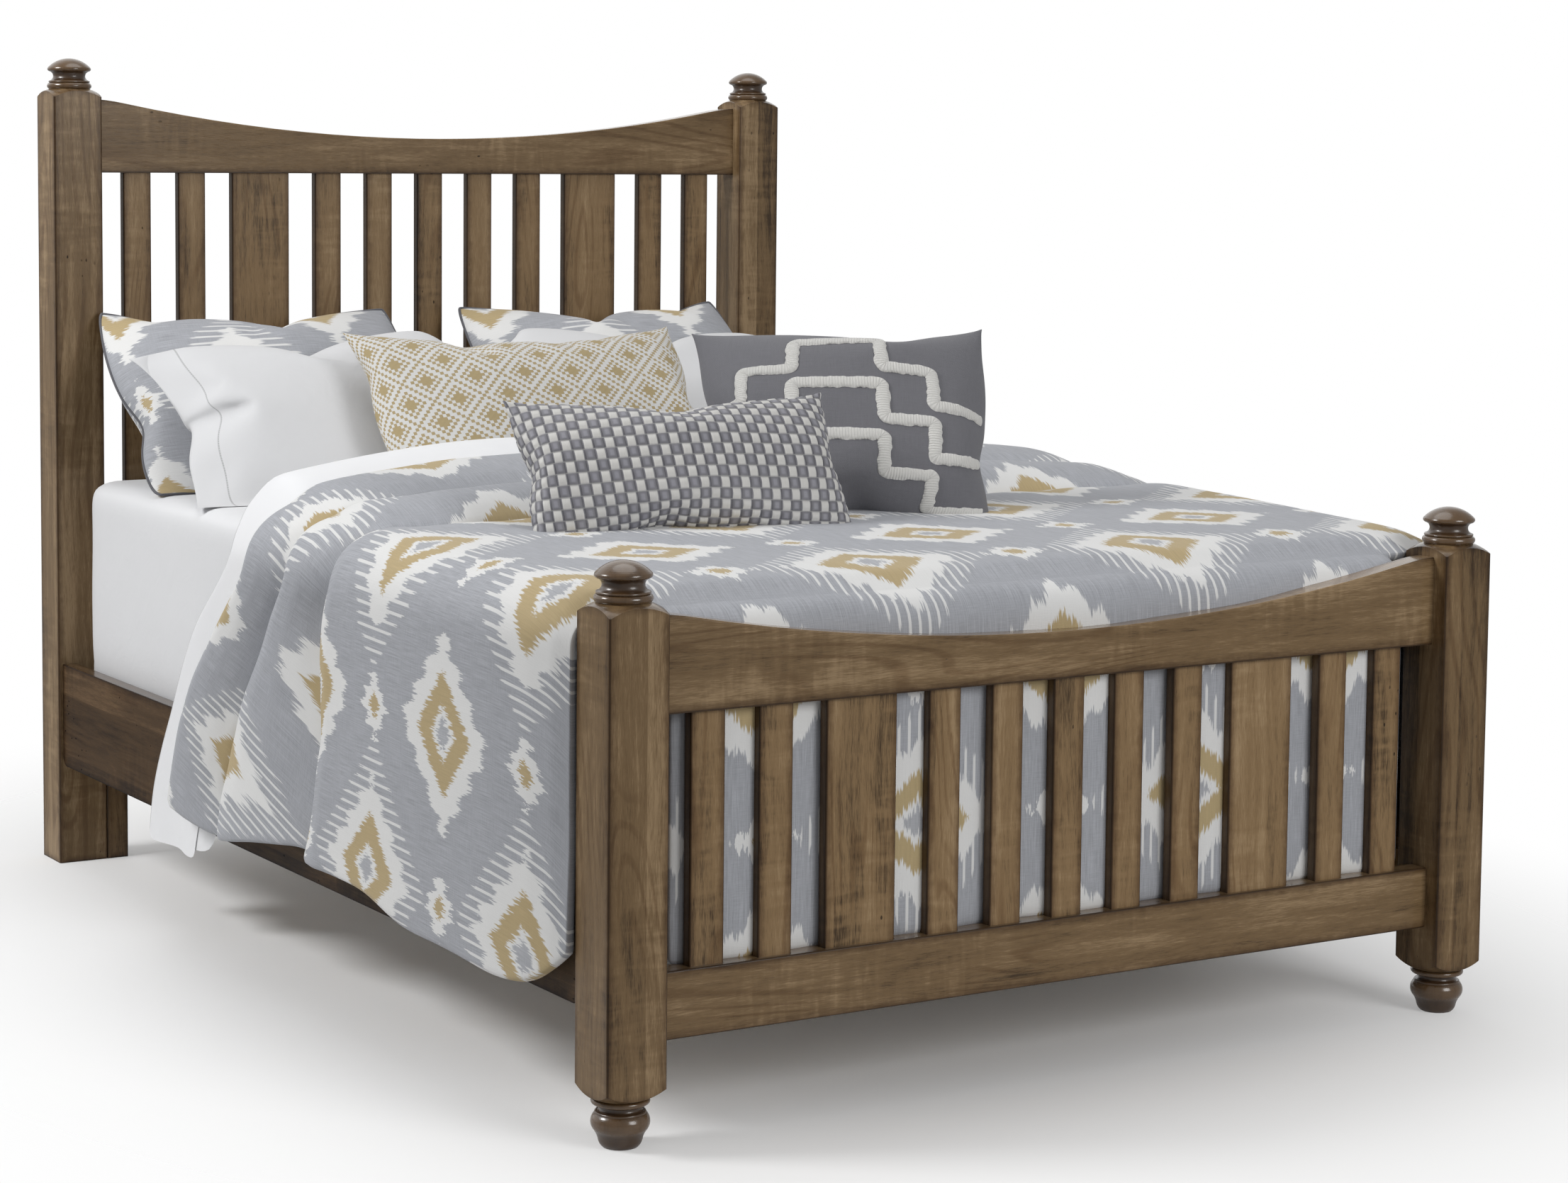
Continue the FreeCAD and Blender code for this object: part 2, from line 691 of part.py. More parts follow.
def side_rail(label, sign):
    """A side rail between the posts, with rounded lower corners and a plate let into each end."""
    body = new_body(f"{label}_blank")
    half, floor = f"({RAIL_LENGTH} / 2)", "0 * side_rail_height"
    drawn = f"side_rail_corner * (1 - {ROUND_SHARE})"
    corner = f"({half} - side_rail_corner)"
    steps = [
        (f"-{corner}", floor),
        (corner, floor),
        (f"{half} - {drawn}", drawn, half, "side_rail_corner"),
        (half, "side_rail_height"),
        (f"-{half}", "side_rail_height"),
        (f"-{half}", "side_rail_corner"),
    ]
    steps[0] = (f"-({half} - {drawn})", drawn, f"-{corner}", floor)
    pad(body, outline(body, f"{label}_outline", "YZ_Plane", steps), "side_rail_thickness", True)
    ease_height = size("side_rail_height - side_rail_edge")
    ease(body, "side_rail_edge", lambda spot: spot.z > ease_height and abs(spot.y) < size("overrun"))
    x = f"{sign} * {RAIL_MIDDLE_X}"
    place(body, x, "0 * side_rail_height", "side_rail_base")
    tools = []
    for end, outward in (("foot", -1), ("head", 1)):
        room = ("plate_width", "plate_thickness + overrun", "plate_height")
        middle = f"{outward} * ({HEAD_FACE} + (overrun - plate_thickness) / 2)"
        base = f"{RAIL_MIDDLE_Z} - plate_height / 2"
        tools.append(box(f"{label}_{end}_room", room, (x, middle), base))
    subpart(cut(f"{label}_cut", body, tools), label)


def glide(label, y):
    """A levelling glide: a disc on the floor with a stem up into its leg."""
    body = new_body(label)
    axis, floor = "0 * glide_radius", "0 * glide_height"
    steps = [
        (axis, floor),
        ("glide_radius - glide_edge", floor),
        ("glide_radius", "glide_edge"),
        ("glide_radius", "glide_height - glide_edge"),
        ("glide_radius - glide_edge", "glide_height"),
        ("glide_stem_radius", "glide_height"),
        ("glide_stem_radius", "glide_height + glide_stem_length"),
        (axis, "glide_height + glide_stem_length"),
    ]
    turn(body, outline(body, f"{label}_profile", "XZ_Plane", steps), "Revolution")
    place(body, axis, y, floor)
    subpart(body, label)


def solid_piece(label, shape, placement=None):
    """A soft piece whose shape is worked out from the sheet's sizes."""
    item = doc.addObject("Part::Feature", label)
    item.Shape = shape
    item.Placement = placement or FreeCAD.Placement()
    return subpart(item, label)


def line(first, last):
    return Part.LineSegment(first, last).toShape()


def arc(first, through, last):
    return Part.Arc(first, through, last).toShape()


def prism(corners, start, reach):
    """A straight prism along Y of a section given as pairs of X and Z."""
    points = [FreeCAD.Vector(x, start, z) for x, z in corners]
    wire = Part.makePolygon(points + points[:1])
    return Part.Face(wire).extrude(FreeCAD.Vector(0, reach, 0))


def soft_block(label, base, height, width, length, middle, corner, edge, layers):
    """A rounded block lofted through rounded rectangles that draw in at its base and top."""
    wires = []
    for up, inset_share in layers:
        inset = edge * inset_share
        half_x, half_y, z = width / 2 - inset, length / 2 - inset, base + height * up
        edges = []
        for right, back, swap in ((1, -1, False), (1, 1, True), (-1, 1, False), (-1, -1, True)):
            on_side = FreeCAD.Vector(right * half_x, middle + back * (half_y - corner), z)
            on_end = FreeCAD.Vector(right * (half_x - corner), middle + back * half_y, z)
            slant = corner * (1 - ROUND_SHARE)
            through = FreeCAD.Vector(right * (half_x - slant), middle + back * (half_y - slant), z)
            first, last = (on_side, on_end) if swap else (on_end, on_side)
            if edges:
                edges.append(line(edges[-1].lastVertex().Point, first))
            edges.append(arc(first, through, last))
        edges.append(line(edges[-1].lastVertex().Point, edges[0].firstVertex().Point))
        wires.append(Part.Wire(edges))
    solid_piece(label, Part.makeLoft(wires, True, True))


def under_cloth(side, top, foot):
    """The room under a cloth: the bed with its upper edges bevelled, open below and to the head."""
    drop, floor = size("cloth_shoulder"), -size("overrun")
    edge = size("mattress_width / 2")
    right = [(side, floor), (side, top - drop), (edge, top)]
    left = [(-x, z) for x, z in reversed(right)]
    return prism(right + left, foot, size("mattress_length"))


def flat_sheet():
    """A thin sheet over the mattress, hanging outside the rails beside the duvet's head edge."""
    foot, head = size(MATTRESS_FOOT), size(SHEET_HEAD)
    thickness, gap = size("sheet_thickness"), size("soft_gap")
    top, side = size(SHEET_TOP), size(SHEET_SIDE)
    outer = under_cloth(side, top, foot)
    inner = under_cloth(side - thickness, top - thickness, foot - size("overrun"))
    cloth = outer.cut(inner)
    hem, beyond = size("sheet_hem"), size(f"{MATTRESS_HEAD} * 2")
    reach = side + gap + size("overrun")
    slant, tuck = head + size("sheet_flare"), size("sheet_tuck")
    head_waste = [(head, top), (head, top * 2), (beyond, top * 2), (beyond, 0), (slant, 0), (slant, hem)]
    tuck_end, tuck_start = head - size("sheet_tuck_end"), head - size("sheet_tuck_start")
    low_waste = [(-beyond, tuck), (tuck_end, tuck), (tuck_start, hem), (beyond, hem)]
    low_waste += [(beyond, -top), (-beyond, -top)]
    for corners in (head_waste, low_waste):
        points = [FreeCAD.Vector(-reach, y, z) for y, z in corners]
        face = Part.Face(Part.makePolygon(points + points[:1]))
        cloth = cloth.cut(face.extrude(FreeCAD.Vector(2 * reach, 0, 0)))
    solid_piece("flat_sheet", cloth)


def duvet_section(along, rise, flare, hem_rise, swell):
    """One closed section across the duvet's outside, leaning towards the head at its hem."""
    head, foot = size(DUVET_HEAD), size(DUVET_FOOT)
    top = size(DUVET_TOP) + size("duvet_fold_rise") * rise
    hem = size("duvet_hem") + size("duvet_hem_rise") * hem_rise
    y_top = head + (foot - head) * along
    lean = size("duvet_flare") * flare
    side = size(DUVET_INNER_SIDE) + size("duvet_side") + size("duvet_swell") * swell
    crown, shoulder_drop = size("mattress_width / 2 - duvet_shoulder / 2"), size("duvet_shoulder")

    def spot(x, z):
        return FreeCAD.Vector(x, y_top + lean * (top - z) / (top - hem), z)

    def bend(sign):
        round_x = crown + (side - crown) * ROUND_SHARE
        round_z = top - shoulder_drop * (1 - ROUND_SHARE)
        low = spot(sign * side, top - shoulder_drop)
        return low, spot(sign * round_x, round_z), spot(sign * crown, top)

    left, right = bend(-1), bend(1)
    low_left, low_right = spot(-side, hem), spot(side, hem)
    edges = [line(low_left, left[0]), arc(*left), line(left[2], right[2]), arc(*reversed(right))]
    edges += [line(right[0], low_right), line(low_right, low_left)]
    return Part.Wire(edges)


def duvet_fall():
    """The part of the duvet that hangs between the mattress and the foot slats, in soft folds."""
    half = size(f"{BOARD_SPAN} / 2 - fall_side_gap")
    back = size(MATTRESS_FOOT)
    hem, top = size("fall_hem"), size(DUVET_TOP)
    low_top = top - size("duvet_shoulder")
    wires = []
    for index, crest in enumerate(FALL_SHARES):
        x = half * (2 * index / (len(FALL_SHARES) - 1) - 1)
        front = back - size("fall_thickness") - size("fall_fold") * crest

        def spot(y, z):
            return FreeCAD.Vector(x, y, z)

        bulge_y = back + (front - back) * ROUND_SHARE
        bulge_z = low_top + (top - low_top) * ROUND_SHARE
        edges = [
            line(spot(back, hem), spot(front, hem)),
            line(spot(front, hem), spot(front, low_top)),
            arc(spot(front, low_top), spot(bulge_y, bulge_z), spot(back, top)),
            line(spot(back, top), spot(back, hem)),
        ]
        wires.append(Part.Wire(edges))
    return Part.makeLoft(wires, True, True)


def duvet():
    """The duvet: a soft cover over the bed, turned down at the head, with pleated sides."""
    cover = Part.makeLoft([duvet_section(*shares) for shares in DUVET_SHARES], True, True)
    room = under_cloth(size(DUVET_INNER_SIDE), size(DUVET_INNER_TOP), size(f"{MATTRESS_FOOT} - soft_gap"))
    cover = cover.fuse(duvet_fall()).cut(room)
    rail_top = size("side_rail_base + side_rail_height + soft_gap")
    inner, outer = size(f"{BOARD_SPAN} / 2 - fall_side_gap"), size(DUVET_INNER_SIDE)
    foot, end = size(f"-{HEAD_FACE} - post_width"), size(MATTRESS_FOOT)
    for sign in (-1, 1):
        corners = [(sign * inner, 0), (sign * outer, 0), (sign * outer, rail_top), (sign * inner, rail_top)]
        cover = cover.cut(prism(corners, foot, end - foot))
    solid_piece("duvet", cover.removeSplitter())


def cushion_shape(width, height, thickness):
    """A crowned cushion lofted through outlines whose sides draw in between the corners."""
    layers = [(-up, scale, bow) for up, scale, bow in reversed(CUSHION_SHARES[1:])] + CUSHION_SHARES
    wires = []
    for up, scale, bow in layers:
        half_x, half_y, z = width / 2 * scale, height / 2 * scale, thickness * up
        corners = [(-half_x, -half_y), (half_x, -half_y), (half_x, half_y), (-half_x, half_y)]
        middles = [(0, -half_y), (half_x, 0), (0, half_y), (-half_x, 0)]
        edges = []
        for index, (x, y) in enumerate(middles):
            first = FreeCAD.Vector(*corners[index], z)
            last = FreeCAD.Vector(*corners[(index + 1) % len(corners)], z)
            edges.append(arc(first, FreeCAD.Vector(x * (1 + bow), y * (1 + bow), z), last))
        wires.append(Part.Wire(edges))
    return Part.makeLoft(wires, True, True)


def cushion(label, kind, middle, recline, turned, floor):
    """A cushion leaning back by its recline, flattened where it rests on its floor."""
    shape = cushion_shape(size(f"{kind}_width"), size(f"{kind}_height"), size(f"{kind}_thickness"))
    upright = FreeCAD.Rotation(FreeCAD.Vector(1, 0, 0), recline)
    facing = FreeCAD.Rotation(FreeCAD.Vector(0, 0, 1), turned)
    placement = FreeCAD.Placement(middle, facing * upright)
    reach = size("mattress_length")
    corner = FreeCAD.Vector(-reach, -reach, floor + size("soft_gap") - reach)
    below = Part.makeBox(2 * reach, 2 * reach, reach, corner)
    below.Placement = placement.inverse()
    solid_piece(label, shape.cut(below), placement)


def leaning_stack():
    """Shams, pillows and the diamond cushion lean on each other as slabs of one recline."""
    recline = size("stack_recline_angle")
    rise, run = math.sin(math.radians(recline)), math.cos(math.radians(recline))
    floor = size(MATTRESS_TOP)

    def height_of(kind):
        return floor - size(f"{kind}_sink") + size(f"{kind}_height") / 2 * rise

    y = size(f"{HEAD_FACE} - sham_lean_gap") - size("sham_height") / 2 * run
    z = height_of("sham")
    rows = [("sham", ("left", "right")), ("pillow", ("left", "right")), ("diamond", ("",))]
    behind = None
    for kind, sides in rows:
        if behind:
            apart = size(f"({behind}_thickness + {kind}_thickness) / 2 + stack_gap")
            slid = (height_of(kind) - z - run * apart) / rise
            y, z = y - rise * apart + run * slid, height_of(kind)
        for side in sides:
            label = f"{kind}_{side}" if side else f"{kind}_cushion"
            x = size(f"{kind}_{side}_x" if side else f"{kind}_x")
            cushion(label, kind, FreeCAD.Vector(x, y, z), recline, 0, floor)
        behind = kind


def loose_cushion(kind):
    """A cushion that leans by itself on the duvet."""
    recline, floor = size(f"{kind}_recline_angle"), size(DUVET_TOP)
    rise = math.sin(math.radians(recline))
    z = floor - size(f"{kind}_sink") + size(f"{kind}_height") / 2 * rise
    middle = FreeCAD.Vector(size(f"{kind}_x"), size(f"{DUVET_HEAD} - {kind}_from_edge"), z)
    cushion(f"{kind}_cushion", kind, middle, recline, size(f"{kind}_turn_angle"), floor)


def boards():
    """Both boards: rails, slats and the mortises that their posts need."""
    head_y, foot_y = POST_Y, f"-{POST_Y}"
    head_low = "(head_corner_height - top_rail_drop - top_rail_height)"
    foot_low = "(foot_corner_height - top_rail_drop - top_rail_height)"
    mortises = {"headboard": [], "footboard": []}
    mortises["headboard"].append(top_rail("headboard_top_rail", head_y, head_low))
    mortises["headboard"].append(low_rail("headboard_bottom_rail", head_y, "head_low_rail_base"))
    mortises["footboard"].append(top_rail("footboard_top_rail", foot_y, foot_low))
    mortises["footboard"].append(low_rail("footboard_bottom_rail", foot_y, "foot_low_rail_base"))
    slats("headboard", head_y, "(head_low_rail_base + low_rail_height)", head_low)
    slats("footboard", foot_y, "(foot_low_rail_base + low_rail_height)", foot_low)
    return mortises


def posts(mortises):
    """The four posts with their finials, and the bun feet under the foot posts."""
    floor = "0 * post_width"
    for side, sign in (("left", -1), ("right", 1)):
        x, rail_x = f"{sign} * {POST_X}", f"{sign} * {RAIL_MIDDLE_X}"
        for board, toward, base, seat in (
            ("headboard", 1, floor, HEAD_SEAT),
            ("footboard", -1, "bun_height", FOOT_SEAT),
        ):
            label, y = f"{board}_post_{side}", f"{toward} * {POST_Y}"
            blank = post_blank(f"{label}_blank", x, y, base, seat, board == "footboard")
            tools = [tools_of_rail[side] for tools_of_rail in mortises[board]]
            tools.append(spigot_bore(f"{label}_top_bore", (x, y), seat, 1))
            if board == "footboard":
                tools.append(spigot_bore(f"{label}_foot_bore", (x, y), base, -1))
                bun_foot(f"bun_foot_{side}", x, y)
            tools += catch_recess(f"{label}_catch", rail_x, f"{toward} * {HEAD_FACE}", toward)
            subpart(cut(f"{label}_cut", blank, tools), label)
            finial(f"{board}_finial_{side}", x, y, seat)


def ironwork():
    """Hook plates on the rails and catch plates in the posts, at all four corners."""
    hooks, catches = [], []
    for side, sign in (("left", -1), ("right", 1)):
        for end, outward in (("foot", -1), ("head", 1)):
            x, face = f"{sign} * {RAIL_MIDDLE_X}", f"{outward} * {HEAD_FACE}"
            hooks.append(hook_plate(f"hook_{side}_{end}", x, face, outward))
            catches.append(catch_plate(f"catch_{side}_{end}", x, face, outward))
    group("rail_hook_plates", hooks)
    group("post_catch_plates", catches)


def mattress_support():
    """Ledgers inside the side rails, cross slats on them, centre legs and their glides."""
    ledger_length = f"({RAIL_LENGTH} - 2 * ledger_end_gap)"
    slat_base = "(cross_slat_top - cross_slat_thickness)"
    middle = "0 * ledger_width"
    ledgers = []
    for side, sign in (("left", -1), ("right", 1)):
        x = f"{sign} * ({RAIL_INNER} - ledger_width / 2)"
        extent = ("ledger_width", ledger_length, "ledger_height")
        ledgers.append(box(f"ledger_{side}", extent, (x, middle), f"{slat_base} - ledger_height"))
    group("side_ledgers", ledgers)
    cross, legs = [], []
    pitch = f"(({ledger_length} - 2 * cross_slat_margin) / {CROSS_SLATS - 1})"
    for number in range(CROSS_SLATS):
        y = f"({number} * {pitch} - {ledger_length} / 2 + cross_slat_margin)"
        extent = (f"2 * ({RAIL_INNER} - cross_slat_end_gap)", "cross_slat_width", "cross_slat_thickness")
        cross.append(box(f"cross_slat_{number + 1}", extent, (middle, y), slat_base))
        if 0 < number < CROSS_SLATS - 1:
            leg = ("leg_width", "leg_width", f"{slat_base} - leg_base")
            block = box(f"leg_{number}", leg, (middle, y), "leg_base")
            depth = "glide_height + glide_stem_length + glide_travel + fit_gap - leg_base + overrun"
            radius = "glide_stem_radius + fit_gap"
            bore = cylinder(f"leg_bore_{number}", radius, depth, (middle, y), "leg_base - overrun")
            legs.append(cut(f"centre_leg_{number}", block, [bore]))
            glide(f"levelling_glide_{number}", y)
    group("cross_slats", cross)
    group("centre_legs", legs)


def bedding():
    """Box spring, mattress, sheet, duvet, pillows and cushions."""
    middle = size(f"({MATTRESS_HEAD} + {MATTRESS_FOOT}) / 2")
    plan = (size("mattress_width"), size("mattress_length"), middle)
    spring = (size("box_spring_corner"), size("box_spring_edge"), SPRING_SHARES)
    soft_block("box_spring", size("cross_slat_top"), size("box_spring_height"), *plan, *spring)
    edges = (size("mattress_corner"), size("mattress_edge"), MATTRESS_SHARES)
    soft_block("mattress", size(MATTRESS_BASE), size("mattress_height"), *plan, *edges)
    flat_sheet()
    duvet()
    leaning_stack()
    loose_cushion("grey")
    loose_cushion("lumbar")


def check_and_write():
    """Stops at any failed object, then writes each piece to its own file."""
    doc.recompute()
    for item in doc.Objects:
        if "Invalid" in item.State or "Error" in item.State:
            raise RuntimeError(f"{item.Label} failed: {item.State}")
    for item in subparts:
        if item.Shape.isNull() or not item.Shape.isValid():
            raise RuntimeError(f"{item.Label} has no valid shape")
    os.makedirs("parts", exist_ok=True)
    for item in subparts:
        item.Shape.exportStep(f"parts/{item.Label}.step")


posts(boards())
leg_block("leg_block_left", -1)
leg_block("leg_block_right", 1)
side_rail("side_rail_left", -1)
side_rail("side_rail_right", 1)
ironwork()
mattress_support()
bedding()
check_and_write()
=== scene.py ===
import math
from collections import namedtuple
from functools import partial, reduce

import bpy
import numpy as np
from mathutils import Matrix, Vector


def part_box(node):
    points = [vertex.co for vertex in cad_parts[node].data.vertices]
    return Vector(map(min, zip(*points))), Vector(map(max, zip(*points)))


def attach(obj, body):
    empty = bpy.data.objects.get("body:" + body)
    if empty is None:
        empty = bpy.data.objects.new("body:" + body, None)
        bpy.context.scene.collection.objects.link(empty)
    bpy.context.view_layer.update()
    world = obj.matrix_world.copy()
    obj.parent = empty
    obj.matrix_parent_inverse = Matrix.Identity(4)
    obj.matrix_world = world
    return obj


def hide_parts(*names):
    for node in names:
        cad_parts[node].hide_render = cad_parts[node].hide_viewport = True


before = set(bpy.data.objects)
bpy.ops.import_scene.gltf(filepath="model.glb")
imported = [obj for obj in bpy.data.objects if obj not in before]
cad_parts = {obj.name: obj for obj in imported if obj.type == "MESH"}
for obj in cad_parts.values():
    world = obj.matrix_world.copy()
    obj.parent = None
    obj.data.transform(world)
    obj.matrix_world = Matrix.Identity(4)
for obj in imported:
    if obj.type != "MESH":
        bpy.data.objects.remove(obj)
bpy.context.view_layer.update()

bl_info = {
    "name": "Poster bed",
    "version": (1, 0, 0),
    "blender": (4, 5, 0),
    "location": "3D View > Sidebar > Poster bed",
    "description": "Finishes the wooden poster bed and makes its bedding",
    "category": "Object",
}

# Words in the names of the frame's pieces, by the finish that the pieces get.
IRON = ("rail_hook_plates", "post_catch_plates")
TURNED = ("finial", "bun_foot")
SLATS = ("headboard_slat", "footboard_slat")
UPRIGHT = ("post", "leg_block")
ACROSS = ("top_rail", "bottom_rail")
LENGTHWISE = ("side_rail",)
PLAIN = ("side_ledgers", "cross_slats", "centre_legs")
GLIDES = ("levelling_glide",)

# Upper corners of the mattress and the flat sheet in the frame.
MATTRESS_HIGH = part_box("mattress")[1]
SHEET_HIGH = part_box("flat_sheet")[1]


# Shader maths


def operation(kind, reflected=False):
    """A method that joins a value with another one, or with a number, by a Math node."""

    def method(value, other):
        pair = (other, value) if reflected else (value, other)
        return value.graph.math(kind, *pair)

    return method


class Value:
    """A socket that takes part in sums: each operator adds its Math node."""

    def __init__(self, graph, socket):
        self.graph = graph
        self.socket = socket

    def __abs__(self):
        return self.graph.math("ABSOLUTE", self)

    __add__ = operation("ADD")
    __radd__ = operation("ADD", reflected=True)
    __sub__ = operation("SUBTRACT")
    __rsub__ = operation("SUBTRACT", reflected=True)
    __mul__ = operation("MULTIPLY")
    __rmul__ = operation("MULTIPLY", reflected=True)
    __truediv__ = operation("DIVIDE")
    __rtruediv__ = operation("DIVIDE", reflected=True)
    __gt__ = operation("GREATER_THAN")
    __lt__ = operation("LESS_THAN")


class Graph:
    """The nodes of one material, or of the sky."""

    def __init__(self, owner, shader="Principled BSDF"):
        owner.use_nodes = True
        self.owner = owner
        self.tree = owner.node_tree
        self.shader = self.tree.nodes[shader]

    def feed(self, socket, value):
        """Links a value to a socket, or sets the socket to a constant."""
        if isinstance(value, Value):
            self.tree.links.new(value.socket, socket)
        else:
            socket.default_value = value

    def node(self, kind, settings=None, inputs=None, output=0):
        """A node of any kind: its settings first, then its sockets. Several outputs give a tuple."""
        item = self.tree.nodes.new(kind)
        for key, setting in (settings or {}).items():
            setattr(item, key, setting)
        for key, value in (inputs or {}).items():
            self.feed(item.inputs[key], value)
        if isinstance(output, tuple):
            return tuple(Value(self, item.outputs[key]) for key in output)
        return Value(self, item.outputs[output])

    def math(self, kind, *values):
        return self.node("ShaderNodeMath", {"operation": kind}, dict(enumerate(values)))

    def least(self, *values):
        return reduce(partial(self.math, "MINIMUM"), values)

    def most(self, *values):
        return reduce(partial(self.math, "MAXIMUM"), values)

    def whole(self, value):
        return self.math("FLOOR", value)

    def part(self, value):
        return self.math("FRACT", value)

    def wave(self, value):
        return self.math("SINE", value)

    def step(self, value, low, high):
        """A smooth rise from 0 at low to 1 at high."""
        inputs = {"Value": value, "From Min": low, "From Max": high}
        return self.node("ShaderNodeMapRange", {"interpolation_type": "SMOOTHSTEP"}, inputs)

    def vector(self, x, y, z=0.0):
        return self.node("ShaderNodeCombineXYZ", None, {0: x, 1: y, 2: z})

    def split(self, vector, parts=("X", "Y", "Z")):
        return self.node("ShaderNodeSeparateXYZ", None, {0: vector}, parts)

    def place(self):
        """Where a point lies in the bed's frame."""
        return self.split(self.node("ShaderNodeTexCoord", output="Object"))

    def cloth(self):
        """Where a point lies on the flat cloth, in metres across and along."""
        flat = self.node("ShaderNodeAttribute", {"attribute_name": "cloth"}, output="Vector")
        return self.split(flat, ("X", "Y"))

    def own(self, name, output="Fac"):
        """A property that the piece itself carries."""
        settings = {"attribute_type": "OBJECT", "attribute_name": name}
        return self.node("ShaderNodeAttribute", settings, output=output)

    def own_place(self):
        """Where a point lies from the middle of its piece, and half the size of the piece."""
        middle, half = (self.split(self.own(name, "Vector")) for name in ("middle", "half"))
        return [place - centre for place, centre in zip(self.place(), middle)], half

    def noise(self, where, scale, detail=3.0, rough=0.55, bend=0.0):
        inputs = {"Vector": where, "Scale": scale, "Detail": detail, "Roughness": rough, "Distortion": bend}
        return self.node("ShaderNodeTexNoise", None, inputs, "Fac")

    def cells(self, where, scale, output="Distance"):
        return self.node("ShaderNodeTexVoronoi", None, {"Vector": where, "Scale": scale}, output)

    def chance(self, dimensions, **where):
        """A random number from 0 to 1 for each place."""
        return self.node("ShaderNodeTexWhiteNoise", {"noise_dimensions": dimensions}, where)

    def mix(self, share, first, second):
        """Two colours mixed by a share."""
        return self.node("ShaderNodeMix", {"data_type": "RGBA"}, {0: share, 6: first, 7: second}, 2)

    def tint(self, colour, share, by):
        """A colour multiplied by another, as far as the share says."""
        settings = {"data_type": "RGBA", "blend_type": "MULTIPLY"}
        return self.node("ShaderNodeMix", settings, {0: share, 6: colour, 7: by}, 2)

    def ramp(self, share, low, middle, high):
        """A colour between three, by a share from 0 to 1."""
        lower = self.mix(self.step(share, 0.0, 0.5), low, middle)
        return self.mix(self.step(share, 0.5, 1.0), lower, high)

    def relief(self, height, strength, distance):
        inputs = {"Strength": strength, "Distance": distance, "Height": height}
        return self.node("ShaderNodeBump", None, inputs)

    def finish(self, **sockets):
        """Sets the shader's sockets, named with _ for a space, and gives what they belong to."""
        for key, value in sockets.items():
            self.feed(self.shader.inputs[key.replace("_", " ")], value)
        return self.owner


def material_graph(name):
    return Graph(bpy.data.materials.new(name))


def grey(level):
    return (level, level, level, 1.0)


def toned(colour, share):
    """The colour, lighter or darker by a share."""
    return tuple(channel * share for channel in tuple(colour)[:3]) + (1.0,)


# Wood and metal finishes


VARNISH_ROUGH = 0.16


def wood(name, along, look):
    """Stained maple with its grain along one axis of the frame: fibres, streaks, growth lines, curl,
    glued strips, rubbed dark edges, painted shade on the flanks and small marks of wear."""
    g = material_graph(name)
    local, half = g.own_place()
    seed = g.own("plank")
    shift = seed * 9.7
    run = local[along]
    side, other = [local[axis] for axis in range(3) if axis != along]
    moved = g.vector(*[axis + shift for axis in local])

    def drawn_out(share):
        """Places whose run is shortened to a share, so that figures stretch along the grain."""
        return g.vector(side + shift, other, run * share)

    sway = (g.noise(g.vector(side, other + shift, run * 0.5), 5.0, 1.0) - 0.5) * 0.05
    swayed = g.vector(side + shift + sway, other + shift * 0.37, run * 0.06 + shift)
    broad = g.noise(swayed, 24.0, 2.0, 0.5, 0.3)
    streak = g.noise(swayed, 130.0, 4.0, 0.55, 0.2)
    fine = g.noise(g.vector(side + shift, other + shift * 0.37, run * 0.05 + shift), 1000.0, 3.0, 0.65)
    pores = g.step(g.noise(drawn_out(0.03), 1400.0, 2.0), 0.60, 0.72)
    cloud = g.noise(drawn_out(0.6), 8.0, 3.0)
    figure = g.noise(g.vector(side + shift, other + shift, run * 0.14 + shift), 6.5, 1.5, 0.5, 0.5)
    growth = g.step(g.wave(figure * 120.0), 0.30, 1.0) * g.step(g.noise(moved, 3.4, 1.0), 0.42, 0.60)
    curl = g.noise(g.vector(side * 0.22, other * 0.22 + shift, run), 62.0, 2.0, 0.5, 0.4) - 0.5
    curl = g.most(curl, -0.10) * g.step(g.noise(drawn_out(1.0), 4.2, 1.0), 0.46, 0.62)
    strip = g.whole((side + other * 0.6 + seed) / look["strip_width"])
    plank = g.chance("1D", W=strip + seed * 31.0)
    share = (
        0.5
        + (broad - 0.5) * 0.95
        + (streak - 0.5) * 0.70
        + (fine - 0.5) * 0.95
        + (cloud - 0.5) * 0.65
        + (plank - 0.5) * look["strip_contrast"]
        + (seed - 0.5) * 0.14
        + curl * 0.75
    )
    colour = g.ramp(share, look["dark"], look["mid"], look["light"])
    colour = g.tint(colour, growth * 0.6, look["growth"])
    colour = g.tint(colour, pores * 0.55, look["growth"])
    colour = rubbed_edges_and_flank_shade(g, colour, local, half, look)
    worn = wear_marks(g, drawn_out(0.55), moved)
    colour = g.tint(colour, worn * 0.92, look["mark"])
    dash = g.step(g.cells(drawn_out(0.12), 26.0), 0.05, 0.03) * look["dash_share"]
    colour = g.mix(dash, colour, look["dash"])
    upward = g.split(g.node("ShaderNodeNewGeometry", output="Normal"), "Z")
    polish = g.step(upward, 0.75, 0.95) * look["polish"]
    height = fine * 0.35 + streak * 0.35 - pores * 0.5 - worn * 2.4
    return g.finish(
        Base_Color=colour,
        Roughness=look["rough"] + (fine - 0.5) * 0.16 + (cloud - 0.5) * 0.14 + worn * 0.2,
        Normal=g.relief(height, 0.35, 0.0012),
        Coat_Weight=polish + look["coat"],
        Coat_Roughness=VARNISH_ROUGH,
        Specular_IOR_Level=look["specular"],
    )


